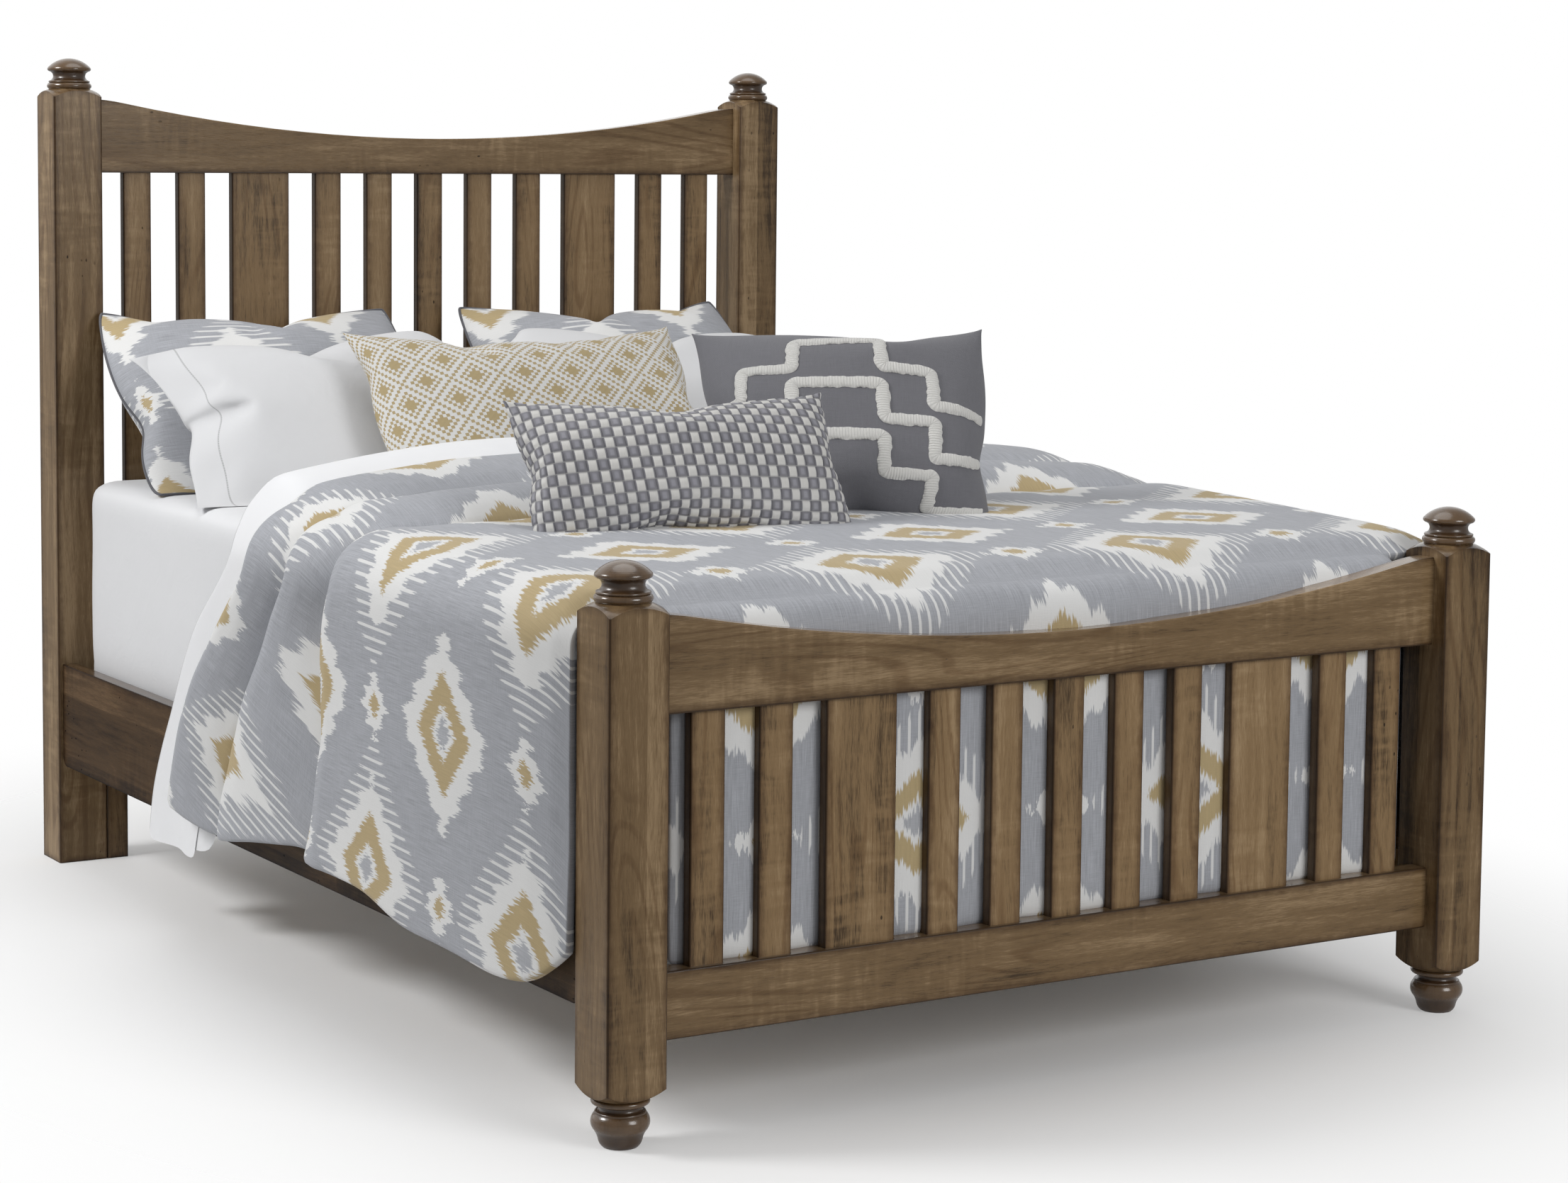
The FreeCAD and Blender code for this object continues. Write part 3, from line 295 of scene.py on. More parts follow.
def rubbed_edges_and_flank_shade(g, colour, local, half, look):
    """The colour with a ragged dark glaze along the edges, a thin line on them and a painted shade on the
    flanks.
    """
    depth = [size - abs(place) for size, place in zip(half, local)]
    second = depth[0] + depth[1] + depth[2] - g.least(*depth) - g.most(*depth)
    ragged = second + (g.noise(g.vector(*local), 55.0, 3.0) - 0.5) * 0.012
    glaze = 1.0 - g.step(ragged, 0.0, look["edge_width"])
    line = 1.0 - g.step(second, 0.0012, 0.0034)
    # Painted shade: the faces square to x, the flanks of the slats, are darkened as if shadowed between the
    # slats.
    flank = 1.0 - g.step(depth[0], 0.0003, 0.0012)
    colour = g.tint(colour, glaze * look["edge_share"], look["edge"])
    colour = g.tint(colour, line * 0.7, look["line"])
    return g.tint(colour, flank * look["flank_share"], look["line"])


def wear_marks(g, where, moved):
    """Small dents that stand in crowds: 1 inside a dent."""
    near, hue = g.cells(where, 74.0, ("Distance", "Color"))
    crowd = g.step(g.noise(moved, 5.5, 1.0), 0.585, 0.67)
    return g.step(near, 0.16, 0.10) * crowd * (g.split(hue, "X") > 0.5)


def turned_wood(name, look):
    """Turned maple, glossy, with painted shade in its narrow lower hollows and fine turning lines."""
    g = material_graph(name)
    (x, y, z), half = g.own_place()
    radius = g.math("SQRT", x * x + y * y) / half[0]
    shift = g.own("plank") * 5.3
    fibre = g.vector(x + shift, y + shift, z * 0.12)
    streak = g.noise(fibre, 60.0, 4.0, 0.6, 0.5)
    fine = g.noise(fibre, 340.0, 3.0)
    colour = g.ramp(streak * 0.8 + fine * 0.3 - 0.12, look["dark"], look["mid"], look["light"])
    # Painted shade: where the piece is narrow and in its lower part it is darkened with the burnish tint, as
    # if its hollows were shadowed.
    hollow_shade = g.step(radius, 0.97, 0.80) * g.step(z / half[2], 0.62, 0.5)
    lines = g.wave(z * 2600.0 + fine * 4.0)
    return g.finish(
        Base_Color=g.tint(colour, hollow_shade * 0.8, look["edge"]),
        Roughness=look["rough"] + (fine - 0.5) * 0.12 + hollow_shade * 0.12,
        Normal=g.relief(lines * 0.12 + fine * 0.3, 0.25, 0.0008),
        Coat_Weight=look["coat"],
        Coat_Roughness=VARNISH_ROUGH,
    )


def plain_wood(name, base):
    """Unstained softwood for what the bedding hides."""
    g = material_graph(name)
    x, y, z = g.place()
    streak = g.noise(g.vector(x * 0.1, y * 0.4, z), 90.0, 5.0, 0.6, 0.4)
    knot = g.step(g.cells(g.vector(x * 0.4, y, z), 5.0), 0.09, 0.03)
    colour = g.mix(streak * 0.7 + knot * 0.5, base, toned(base, 0.55))
    return g.finish(Base_Color=colour, Roughness=0.55 + streak * 0.2, Normal=g.relief(streak, 0.3, 0.001))


def brushed_iron(name, base):
    """Iron plate with upright brush marks and faint stains."""
    g = material_graph(name)
    x, y, z = g.place()
    brush = g.noise(g.vector(x, y, z * 0.03), 900.0, 3.0)
    stain = g.noise(g.vector(x, y, z), 40.0, 3.0)
    return g.finish(
        Base_Color=g.mix(stain * 0.5, base, grey(0.12)),
        Metallic=1.0,
        Roughness=0.3 + brush * 0.25,
        Normal=g.relief(brush, 0.2, 0.0004),
    )


def moulded_plastic(name, base):
    """Dark plastic with a fine moulded grain."""
    g = material_graph(name)
    grain = g.noise(g.vector(*g.place()), 700.0, 2.0)
    colour = g.mix(grain, base, grey(0.03))
    return g.finish(Base_Color=colour, Roughness=0.45 + grain * 0.15, Normal=g.relief(grain, 0.25, 0.0005))


# Cloth finishes


COTTON_SHEEN = {"Sheen_Weight": 0.15, "Sheen_Roughness": 0.5}
CREASE_DEPTH = 0.004


def weave(g, u, v, threads):
    """A plain weave's height: warp over weft in a checker of threads to the metre."""
    return g.wave(u * (threads * math.pi)) * g.wave(v * (threads * math.pi))


def white_cotton(g, base):
    """Colour, threads and height of white cotton with a fine weave, and a faint painted shade of creases in
    its colour.
    """
    where = g.vector(*g.place())
    painted_crease_shade = g.noise(where, 9.0, 4.0, 0.5, 1.4)
    thread = g.noise(where, 1500.0, 2.0)
    # Painted shade: the colour darkens in soft crease-like patches.
    colour = g.mix(painted_crease_shade * 0.5, base, toned(base, 0.94))
    return colour, thread, thread * 0.06 + g.noise(where, 30.0, 4.0, 0.55, 0.8) * 0.5


def cotton(name, base, creased):
    """White cotton with a soft sheen, creased by a share."""
    g = material_graph(name)
    colour, thread, height = white_cotton(g, base)
    rough = 0.78 + (thread - 0.5) * 0.1
    normal = g.relief(height, creased, CREASE_DEPTH)
    return g.finish(Base_Color=colour, Roughness=rough, Normal=normal, **COTTON_SHEEN)


def pillowcase(name, base, seam):
    """White cotton whose hem band ends at a stitched line, so far along the cloth."""
    g = material_graph(name)
    u, v = g.cloth()
    colour, _, height = white_cotton(g, base)
    line = g.step(abs(u - seam), 0.0022, 0.0010)
    stitch = line * g.step(abs(g.part(v / 0.0048) - 0.5), 0.28, 0.20)
    colour = g.tint(colour, line * 0.5 + stitch * 0.3, grey(0.55))
    normal = g.relief(height - line * 0.5, 0.4, CREASE_DEPTH)
    return g.finish(Base_Color=colour, Roughness=0.78, Normal=normal, **COTTON_SHEEN)


def lozenges(g, place, repeat, shifts, size):
    """How far the place is from the nearest lozenge's middle, 1 on its edge. The lozenges stand on a
    lattice that is shifted by shares of its repeat."""
    far = []
    for way, every, shift, half in zip(place, repeat, shifts, size):
        far.append(abs(g.part(way / every + shift) - 0.5) * every / half)
    return far[0] + far[1]


def ikat(name, look):
    """Grey slubby cotton with feathered lozenges in white and ochre on a half-drop lattice."""
    g = material_graph(name)
    u, v = g.cloth()
    stray = g.chance("2D", Vector=g.vector(g.whole(u / look["yarn"]), g.whole(v / look["stray"])))
    thread = g.noise(g.vector(u, v * 0.05), 210.0, 2.0, 0.6)
    splash = g.noise(g.vector(u, v * 0.4), 60.0, 2.0)
    feather = (stray - 0.5) * 0.55 + (thread - 0.5) * 1.1 + (splash - 0.5) * 0.35
    place = u, v + feather * look["feather"]
    medals = [lozenges(g, place, look["repeat"], (shift, shift), look["medal"]) for shift in (0.0, 0.5)]
    medal = g.least(*medals)
    white = g.step(medal + g.wave(u * 155.0) * 0.07, 1.03, 0.97)
    ochre = g.step(medal, 0.66, 0.60) * g.step(medal, 0.26, 0.32)
    core = g.step(medal, 0.20, 0.15)
    comb = g.step(medals[0], 1.42, 1.36) * g.step(abs(g.part(u * 60.0) - 0.5), 0.16, 0.12)
    between = ((0.5, 0.0), (0.0, 0.5))
    flower = g.least(*[lozenges(g, place, look["repeat"], shifts, look["flower"]) for shifts in between])
    petal = g.step(flower + g.wave(u * 260.0) * 0.16, 1.04, 0.96)
    heart = g.step(flower, 0.46, 0.38)
    slub = g.noise(g.vector(u, v * 0.03), 620.0, 3.0, 0.6)
    pick = g.noise(g.vector(u * 0.05, v), 800.0, 2.0)
    ground = g.mix((slub - 0.5) * 2.0 + (pick - 0.5) * 0.8 + 0.6, look["ground_dark"], look["ground"])
    pale = g.mix(slub * 0.5, look["white"], look["white_dark"])
    gold = g.mix(slub * 0.9, look["ochre"], look["ochre_dark"])
    colour = g.mix(g.most(comb * 0.92, white, petal), ground, pale)
    colour = g.mix(g.most(ochre * 0.92, heart * 0.9), colour, gold)
    crumple = g.noise(g.vector(u, v), 36.0, 3.0, 0.5, 0.6) * look["crumple"]
    return g.finish(
        Base_Color=g.mix(core * 0.9, colour, ground),
        Roughness=0.74 + (slub - 0.5) * 0.2,
        Normal=g.relief(slub * 0.3 + pick * 0.3 + crumple, 0.35, 0.003),
        Sheen_Weight=0.12,
        Sheen_Roughness=0.45,
    )


def diamond_cloth(name, look):
    """White cotton with stepped, concentric diamonds woven in beige."""
    g = material_graph(name)
    u, v = g.cloth()
    stitch, count = look["stitch"], look["count"]
    far = [abs(g.part(g.whole(way / stitch) / count) * count - count / 2) for way in (u, v)]
    ring = g.whole(far[0] + far[1] + 0.5)
    ring = g.least(ring, count - ring)
    woven = g.most(ring < 2.5, *[abs(ring - at) < 0.5 for at in look["rings"]])
    thread = g.noise(g.vector(u, v), 1300.0, 2.0)
    white = g.mix(thread, look["white"], look["white_light"])
    beige = g.mix(thread, look["beige"], look["beige_dark"])
    height = woven * 0.7 + weave(g, u, v, 1 / stitch) * 0.35 + thread * 0.2
    return g.finish(
        Base_Color=g.mix(woven, white, beige),
        Roughness=0.8,
        Normal=g.relief(height, 0.4, 0.0012),
        Sheen_Weight=0.1,
    )


def linen(name, base, dark):
    """Heathered linen with thick and thin threads both ways."""
    g = material_graph(name)
    u, v = g.cloth()
    warp = g.noise(g.vector(u, v * 0.03), 900.0, 3.0, 0.7)
    weft = g.noise(g.vector(u * 0.03, v), 900.0, 3.0, 0.7)
    height = warp * 0.5 + weft * 0.5 + weave(g, u, v, 700.0) * 0.25
    return g.finish(
        Base_Color=g.mix(warp * 0.7 + weft * 0.7 - 0.25, dark, base),
        Roughness=0.86,
        Normal=g.relief(height, 0.5, 0.0012),
        Sheen_Weight=0.2,
    )


def tape(name, base):
    """Looped cream tape with a fringed edge."""
    g = material_graph(name)
    u, v = g.cloth()
    loop = g.wave(u * 1500.0) * 0.5 + 0.5
    fluff = g.noise(g.vector(u, v * 3.0), 420.0, 3.0, 0.7)
    return g.finish(
        Base_Color=g.mix(fluff * 0.6 + loop * 0.25, base, toned(base, 0.72)),
        Roughness=0.9,
        Normal=g.relief(fluff + loop * 0.7, 0.7, 0.002),
        Sheen_Weight=0.3,
    )


def ribbons(name, look):
    """Satin ribbons in plain weave: wide grey ones across and narrow cream ones along, with a painted satin
    highlight on the grey ones and painted shade along the borders and in the gaps.
    """
    g = material_graph(name)
    u, v = g.cloth()
    column, row = [way / pitch for way, pitch in zip((u, v), look["pitch"])]
    in_u, in_v = [abs(g.part(way) - 0.5) for way in (column, row)]
    row = g.whole(row)
    over = abs(g.part((g.whole(column) + row) * 0.5)) > 0.25
    under = 1.0 - over
    upright = g.step(in_u, 0.40, 0.37)
    level = g.step(in_v, 0.46, 0.43)
    sheen_u = g.noise(g.vector(u * 0.05, v), 1500.0, 2.0)
    sheen_v = g.noise(g.vector(u, v * 0.05), 1500.0, 2.0)
    tone = g.chance("1D", W=row * 1.3 + 0.1)
    wide = g.mix(sheen_u * 0.6 + tone * 0.4, look["grey"], look["grey_dark"])
    # Painted shade: the grey ribbon darkens towards the cream ribbons that it dives under.
    wide = g.tint(wide, g.step(in_u, 0.34, 0.50) * under * 0.75, look["under"])
    # Painted highlight: a pale satin glint in the middle of each grey ribbon where it lies on top.
    painted_satin_light = g.step(in_u, 0.34, 0.08) * g.step(in_v, 0.42, 0.16) * under
    wide = g.mix(painted_satin_light * 0.40, wide, look["painted_satin_light"])
    narrow = g.mix(sheen_v, look["cream"], look["cream_dark"])
    # Painted shade: the cream ribbon darkens with the satin grey towards the ends where it dives under the
    # grey ones.
    narrow = g.tint(narrow, g.step(in_v, 0.34, 0.50) * 0.6, look["painted_satin_light"])
    # Painted shade: the under colour fills the gaps between the ribbons.
    colour = g.mix(under * level + over * (1.0 - upright) * level, look["under"], wide)
    return g.finish(
        Base_Color=g.mix(over * upright, colour, narrow),
        Roughness=0.42 + sheen_u * 0.2,
        Normal=g.relief(sheen_u * 0.3 + sheen_v * 0.3, 0.3, 0.0006),
        Sheen_Weight=0.1,
    )


# Settings that a user may change


def colour_setting(name, description, default):
    return bpy.props.FloatVectorProperty(
        name=name, description=description, subtype="COLOR", size=4, min=0.0, max=1.0, default=default
    )


def number_setting(name, description, default, **more):
    return bpy.props.FloatProperty(name=name, description=description, default=default, min=0.0, **more)


def length_setting(name, description, default):
    return number_setting(name, description, default, unit="LENGTH")


def group_setting(group, name, description):
    return bpy.props.PointerProperty(type=group, name=name, description=description)


class WoodSettings(bpy.types.PropertyGroup):
    """The stain of the frame, and the widths of its strips and dark edges."""

    dark: colour_setting("Dark stain", "Darkest streaks of the stained maple", (0.048, 0.028, 0.0130, 1.0))
    mid: colour_setting("Middle stain", "Middle tone of the stained maple", (0.184, 0.117, 0.056, 1.0))
    light: colour_setting("Light stain", "Lightest streaks of the stained maple", (0.335, 0.232, 0.128, 1.0))
    # The burnish tint also paints the shade in the hollows of the turned pieces.
    edge: colour_setting("Burnish", "Tint along the rubbed edges", (0.34, 0.27, 0.21, 1.0))
    inner: colour_setting("Inner wood", "Unstained wood under the bedding", (0.52, 0.35, 0.18, 1.0))
    strip_width: length_setting("Strip width", "Width of the strips that a post is glued from", 0.034)
    edge_width: length_setting("Edge width", "How far the dark edge reaches into a face", 0.016)


class BeddingSettings(bpy.types.PropertyGroup):
    """Colours of the bedding, and the duvet's thickness and roll."""

    white: colour_setting("White", "White cotton of sheets and pillowcases", (0.80, 0.805, 0.82, 1.0))
    ground: colour_setting("Ground", "Grey ground of the duvet and shams", (0.445, 0.458, 0.495, 1.0))
    ochre: colour_setting("Ochre", "Ochre of the lozenges", (0.52, 0.385, 0.17, 1.0))
    duvet_thickness: length_setting("Duvet thickness", "Thickness of the duvet at its edges", 0.016)
    roll: number_setting("Roll", "How high the turned-down roll stands, 1 as drawn", 1.0, max=1.3)


class CushionSettings(bpy.types.PropertyGroup):
    """Colours and sizes of the cushions."""

    beige: colour_setting("Beige", "Diamonds of the long cushion", (0.44, 0.345, 0.18, 1.0))
    linen: colour_setting("Linen", "Linen of the square cushion", (0.185, 0.185, 0.205, 1.0))
    tape: colour_setting("Tape", "Fringed tape on the square cushion", (0.76, 0.75, 0.72, 1.0))
    ribbon: colour_setting("Ribbon", "Grey ribbon of the small cushion", (0.185, 0.182, 0.205, 1.0))
    cream: colour_setting("Cream", "Cream ribbon of the small cushion", (0.64, 0.63, 0.605, 1.0))
    tape_width: length_setting("Tape width", "Width of the fringed tape", 0.020)


class StageSettings(bpy.types.PropertyGroup):
    """Colour of the floor and strength of the lights."""

    floor: colour_setting("Floor", "Colour of the floor", (0.95, 0.95, 0.95, 1.0))
    key: number_setting("Key light", "Power of the main soft lamp", 152.0, unit="POWER")
    front: number_setting("Front light", "Power of the lamp before the foot", 122.0, unit="POWER")
    top: number_setting("Top light", "Power of the lamp above the bed", 56.0, unit="POWER")
    sky: number_setting("Sky", "Strength of the even light", 0.28)


class BedSettings(bpy.types.PropertyGroup):
    """All settings of the bed, in groups."""

    wood: group_setting(WoodSettings, "Wood", "Finish of the frame")
    bedding: group_setting(BeddingSettings, "Bedding", "Mattress, sheet and duvet")
    cushions: group_setting(CushionSettings, "Cushions", "Loose cushions")
    stage: group_setting(StageSettings, "Stage", "Floor and lights")


def settings():
    return bpy.context.scene.poster_bed


# Meshes


def wave_noise(points, scale, seed, octaves):
    """Smooth, repeatable noise about zero: sums of sines in seeded directions."""
    waves = 6
    rng = np.random.default_rng(seed)
    total = np.zeros(len(points))
    for octave in range(octaves):
        for _ in range(waves):
            direction = rng.normal(size=3)
            direction *= scale * 2.0**octave / np.linalg.norm(direction)
            phase = rng.uniform(0, 2 * math.pi)
            total += np.sin(points @ direction * 2 * math.pi + phase) * 0.5**octave
    return total / waves


def add_smoothing(item, levels):
    rounding = item.modifiers.new("Smooth", "SUBSURF")
    rounding.levels = rounding.render_levels = levels


def make_object(name, points, faces, cloth=None, subdivide=1):
    """A smooth mesh object of these points, with its flat cloth places."""
    mesh = bpy.data.meshes.new(name)
    corners = [tuple(map(float, point)) for point in points]
    mesh.from_pydata(corners, [], [tuple(map(int, face)) for face in faces])
    mesh.polygons.foreach_set("use_smooth", [True] * len(mesh.polygons))
    if cloth is not None:
        layer = mesh.attributes.new("cloth", "FLOAT_VECTOR", "POINT")
        layer.data.foreach_set("vector", np.asarray(cloth, np.float32).ravel())
    mesh.update()
    item = bpy.data.objects.new(name, mesh)
    bpy.context.scene.collection.objects.link(item)
    if subdivide:
        add_smoothing(item, subdivide)
    return item


def dress(item, material, body, slot, *nodes):
    """Gives a piece its material and body, and hides the nodes that it stands for. slot is not used."""
    item.data.materials.append(material)
    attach(item, body)
    if nodes:
        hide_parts(*nodes)


def grid_numbers(shape, first=0):
    """Point numbers of a grid, row by row."""
    return first + np.arange(shape[0] * shape[1]).reshape(shape[:2])


def grid_faces(index):
    """Quads of a grid of point numbers."""
    corners = [index[:-1, :-1], index[:-1, 1:], index[1:, 1:], index[1:, :-1]]
    return np.stack(corners, axis=-1).reshape(-1, 4)


def grid_normals(points):
    """Directions square to a grid of points, on the side from which its quads are seen."""
    normal = np.cross(np.gradient(points, axis=1), np.gradient(points, axis=0))
    return normal / np.maximum(np.linalg.norm(normal, axis=2, keepdims=True), 1e-9)


def unit(ways):
    """Directions of length one."""
    return ways / np.linalg.norm(ways, axis=1, keepdims=True)


def soft_box(low, high, corner, edge, cells):
    """Points and quads of a box whose plan corners and upper and lower edges are rounded."""
    low, high = np.array(low), np.array(high)
    half = (high - low) / 2
    points, faces, found = [], [], {}

    def number(spot):
        key = tuple(np.round(spot, 6))
        if key not in found:
            found[key] = len(points)
            points.append(spot)
        return found[key]

    for axis in range(3):
        first, second = [a for a in range(3) if a != axis]
        for sign in (-1, 1):
            grid = np.empty((cells[first] + 1, cells[second] + 1), int)
            for i, j in np.ndindex(*grid.shape):
                spot = np.empty(3)
                spot[axis] = sign
                spot[first] = 2 * i / cells[first] - 1
                spot[second] = 2 * j / cells[second] - 1
                grid[i, j] = number(spot)
            faces.append(grid_faces(grid if (sign > 0) == (axis != 1) else grid.T))
    cube = np.array(points) * half
    held = np.clip(cube, edge - half, half - edge)
    away = cube - held
    length = np.linalg.norm(away, axis=1, keepdims=True)
    away = np.divide(away, length, out=np.zeros_like(away), where=length > 0)
    rounded = held + away * np.minimum(length, edge)
    plan = rounded[:, :2]
    plan_held = np.clip(plan, corner - half[:2], half[:2] - corner)
    plan_away = plan - plan_held
    reach = np.linalg.norm(plan_away, axis=1, keepdims=True)
    widest = np.abs(plan_away).max(axis=1, keepdims=True)
    scale = np.divide(widest, reach, out=np.ones_like(reach), where=reach > 0)
    rounded[:, :2] = plan_held + plan_away * scale
    return rounded + (low + high) / 2, np.concatenate(faces)


# A direction that no stretch of a cushion's seam follows.
TUBE_UP = (0.31, -0.52, 0.79)


def tube(path, radius, sides=8):
    """Points and quads of a closed tube along a ring of points."""
    ahead = unit(np.roll(path, -1, axis=0) - np.roll(path, 1, axis=0))
    out = unit(np.cross(ahead, TUBE_UP))
    up = np.cross(out, ahead)
    angles = np.linspace(0, 2 * math.pi, sides, endpoint=False)[None, :, None]
    rings = path[:, None, :] + radius * (np.cos(angles) * out[:, None, :] + np.sin(angles) * up[:, None, :])
    index = np.pad(grid_numbers(rings.shape), ((0, 1), (0, 1)), mode="wrap")
    return rings.reshape(-1, 3), grid_faces(index)


# Filled cushions


# How a cushion is filled: cells of its panels across and along, pressure, how far its sides bow out
# and its corners are drawn in, how stiff its cloth is, and how the cloth near the seam is evened: how
# often, how far in, and how near the corners it stays crisp.
Filling = namedtuple("Filling", "cells pressure bow nip stiff rounds evened crisp")
SHAM_FILLING = Filling((46, 36), 6.0, 0.10, 0.04, 2.0, 20, 0.10, 0.07)
PILLOW_FILLING = Filling((58, 44), 7.0, 0.10, 0.06, 4.0, 30, 0.14, 0.09)
DIAMOND_FILLING = Filling((60, 40), 6.0, 0.07, 0.0, 2.0, 20, 0.09, 0.06)
GREY_FILLING = Filling((46, 42), 6.0, 0.10, 0.0, 4.0, 30, 0.11, 0.07)
LUMBAR_FILLING = Filling((64, 34), 6.0, 0.08, 0.0, 3.0, 30, 0.09, 0.05)
FILLING_FRAMES = 24
# How far the middle of each panel stands off before it is filled, and how close to the corners they
# are drawn in: the higher the power, the closer.
PANEL_START, NIP_POWER = 0.012, 8
# The cloth of all cushions, in the units of Blender's Cloth.
CLOTH_RULES = {
    "quality": 5,
    "mass": 0.12,
    "air_damping": 3.0,
    "tension_stiffness": 18.0,
    "compression_stiffness": 18.0,
    "shear_stiffness": 8.0,
    "use_pressure": True,
}

# Where each cushion has its middle, in metres, and how far it leans back and is turned, in degrees.
# A row gives the place along the bed and the height.
STACK_LEAN = (45.0, 0.0)
SHAM_SIZE, SHAM_ROW = (0.620, 0.490, 0.150), (0.8378, 0.8772)
PILLOW_SIZE, PILLOW_ROW = (0.680, 0.495, 0.140), (0.5966, 0.8420)
DIAMOND_SIZE, DIAMOND_ROW = (0.700, 0.450, 0.130), (0.4389, 0.8761)
GREY_SIZE, GREY_MIDDLE, GREY_LEAN = (0.510, 0.435, 0.140), (0.080, -0.330, 0.9017), (52.0, -30.0)
LUMBAR_SIZE, LUMBAR_MIDDLE, LUMBAR_LEAN = (0.555, 0.292, 0.118), (-0.295, -0.447, 0.8590), (56.0, -9.0)
# Height of the duvet under the loose cushions, and how a cushion's underside lies on its floor: the
# gap, the size of the bend, how many bends up the cushion is straight, and how far it sinks in.
DUVET_REST = 0.7603
REST_GAP, REST_BEND, REST_STRAIGHT, REST_SINK_SHARE = 0.0006, 0.012, 30, 0.02
# The pillowcase's flat hem, and how the filling's pressure grows from there: where it starts, over
# what width, and the least share of it.
PILLOW_HEM, LIMP_BEFORE, LIMP_OVER, LIMP_LEAST_SHARE = 0.10, 0.03, 0.16, 0.06
# Where the print starts on the shams, and how far it is moved apart on the two.
SHAM_PRINT, SHAM_PRINT_SHIFT = (0.26, 0.21), 0.06
PAIR = (("left", 1), ("right", -1))

Form = namedtuple("Form", "points faces cloth front")


def panels(size, filling, open_end):
    """Two flat panels that share their seam, with the grid of the front one. An open end, at the low
    x side, is cut straight and square."""
    width, height, _ = size
    across, along = filling.cells
    share_x, share_y = np.meshgrid(np.linspace(-1, 1, across + 1), np.linspace(-1, 1, along + 1))
    closed = np.where(share_x > 0, 1.0, 0.0 if open_end else 1.0)
    drawn = 1 - filling.nip * closed * np.abs(share_x * share_y) ** NIP_POWER
    grid_x = share_x * width / 2 * (1 + filling.bow * closed * (1 - share_y**2)) * drawn
    grid_y = share_y * height / 2 * (1 + filling.bow * (1 - share_x**2)) * drawn
    rise = PANEL_START * (1 - share_x**2) * (1 - share_y**2)
    front = grid_numbers(grid_x.shape)
    inside = np.zeros(grid_x.shape, bool)
    inside[1:-1, 1:-1] = True
    back = front.copy()
    back[inside] = grid_x.size + np.arange(inside.sum())
    top = np.stack([grid_x.ravel(), grid_y.ravel(), rise.ravel()], axis=1)
    under = np.stack([grid_x[inside], grid_y[inside], -rise[inside]], axis=1)
    points = np.concatenate([top, under])
    side = np.concatenate([np.where(inside.ravel(), 1.0, 0.0), -np.ones(inside.sum())])
    cloth = np.stack([points[:, 0], points[:, 1], side], axis=1)
    return Form(points, np.concatenate([grid_faces(front), grid_faces(back)[:, ::-1]]), cloth, front)


def filled(form, filling, limp):
    """The points after the panels are blown up by Blender's Cloth. limp gives the share of the
    pressure that each point takes."""
    mesh = bpy.data.meshes.new("filling")
    mesh.from_pydata(form.points.tolist(), [], form.faces.tolist())
    item = bpy.data.objects.new("filling", mesh)
    scene = bpy.context.scene
    scene.collection.objects.link(item)
    cloth = item.modifiers.new("Filling", "CLOTH")
    for key, value in CLOTH_RULES.items():
        setattr(cloth.settings, key, value)
    cloth.settings.bending_stiffness = filling.stiff
    cloth.settings.uniform_pressure_force = filling.pressure
    cloth.settings.effector_weights.gravity = 0.0
    cloth.collision_settings.use_collision = False
    if limp is not None:
        group = item.vertex_groups.new(name="pressed")
        for number, share in enumerate(limp):
            group.add([number], float(share), "REPLACE")
        cloth.settings.vertex_group_pressure = "pressed"
    for step in range(1, FILLING_FRAMES + 1):
        scene.frame_set(step)
    seen = item.evaluated_get(bpy.context.evaluated_depsgraph_get()).data
    moved = np.empty(len(seen.vertices) * 3)
    seen.vertices.foreach_get("co", moved)
    scene.frame_set(1)
    bpy.data.objects.remove(item)
    bpy.data.meshes.remove(mesh)
    return moved.reshape(-1, 3)


def eased(points, faces, share, rounds):
    """The points drawn half way to their neighbours, each by its share, so many times over."""
    edges = np.concatenate([faces[:, [a, (a + 1) % 4]] for a in range(4)])
    edges = np.concatenate([edges, edges[:, ::-1]])
    count = np.bincount(edges[:, 0], minlength=len(points))[:, None]
    for _ in range(rounds):
        total = np.zeros_like(points)
        np.add.at(total, edges[:, 0], points[edges[:, 1]])
        points = points + 0.5 * share[:, None] * (total / count - points)
    return points


def cushion_form(size, filling, limp=None):
    """A filled cushion that measures its given width, height and thickness."""
    form = panels(size, filling, limp is not None)
    moved = filled(form, filling, None if limp is None else limp(form.cloth[:, 0]))
    inward = np.array(size[:2]) / 2 - np.abs(form.cloth[:, :2])
    share = np.clip(1 - inward.min(axis=1) / filling.evened, 0, 1)
    share *= np.clip(np.hypot(*inward.T) / filling.crisp, 0, 1)
    moved = eased(moved, form.faces, share, filling.rounds)
    low, high = moved.min(axis=0), moved.max(axis=0)
    return form._replace(points=(moved - (high + low) / 2) * (np.array(size) / (high - low)))


def laid(points, middle, lean, floor):
    """The points leaned back and turned about their middle, and flattened onto a floor with a soft
    bend."""
    recline, turn = (math.radians(angle) for angle in lean)
    turned = Matrix.Rotation(turn, 4, "Z") @ Matrix.Rotation(recline, 4, "X")
    points = points @ np.array(turned)[:3, :3].T + np.array(middle)
    floor += REST_GAP
    over = (points[:, 2] - floor) / REST_BEND
    bent = np.where(over > REST_STRAIGHT, over, np.log1p(np.exp(np.minimum(over, REST_STRAIGHT))))
    points[:, 2] = floor + REST_BEND * (bent - REST_SINK_SHARE)
    return points


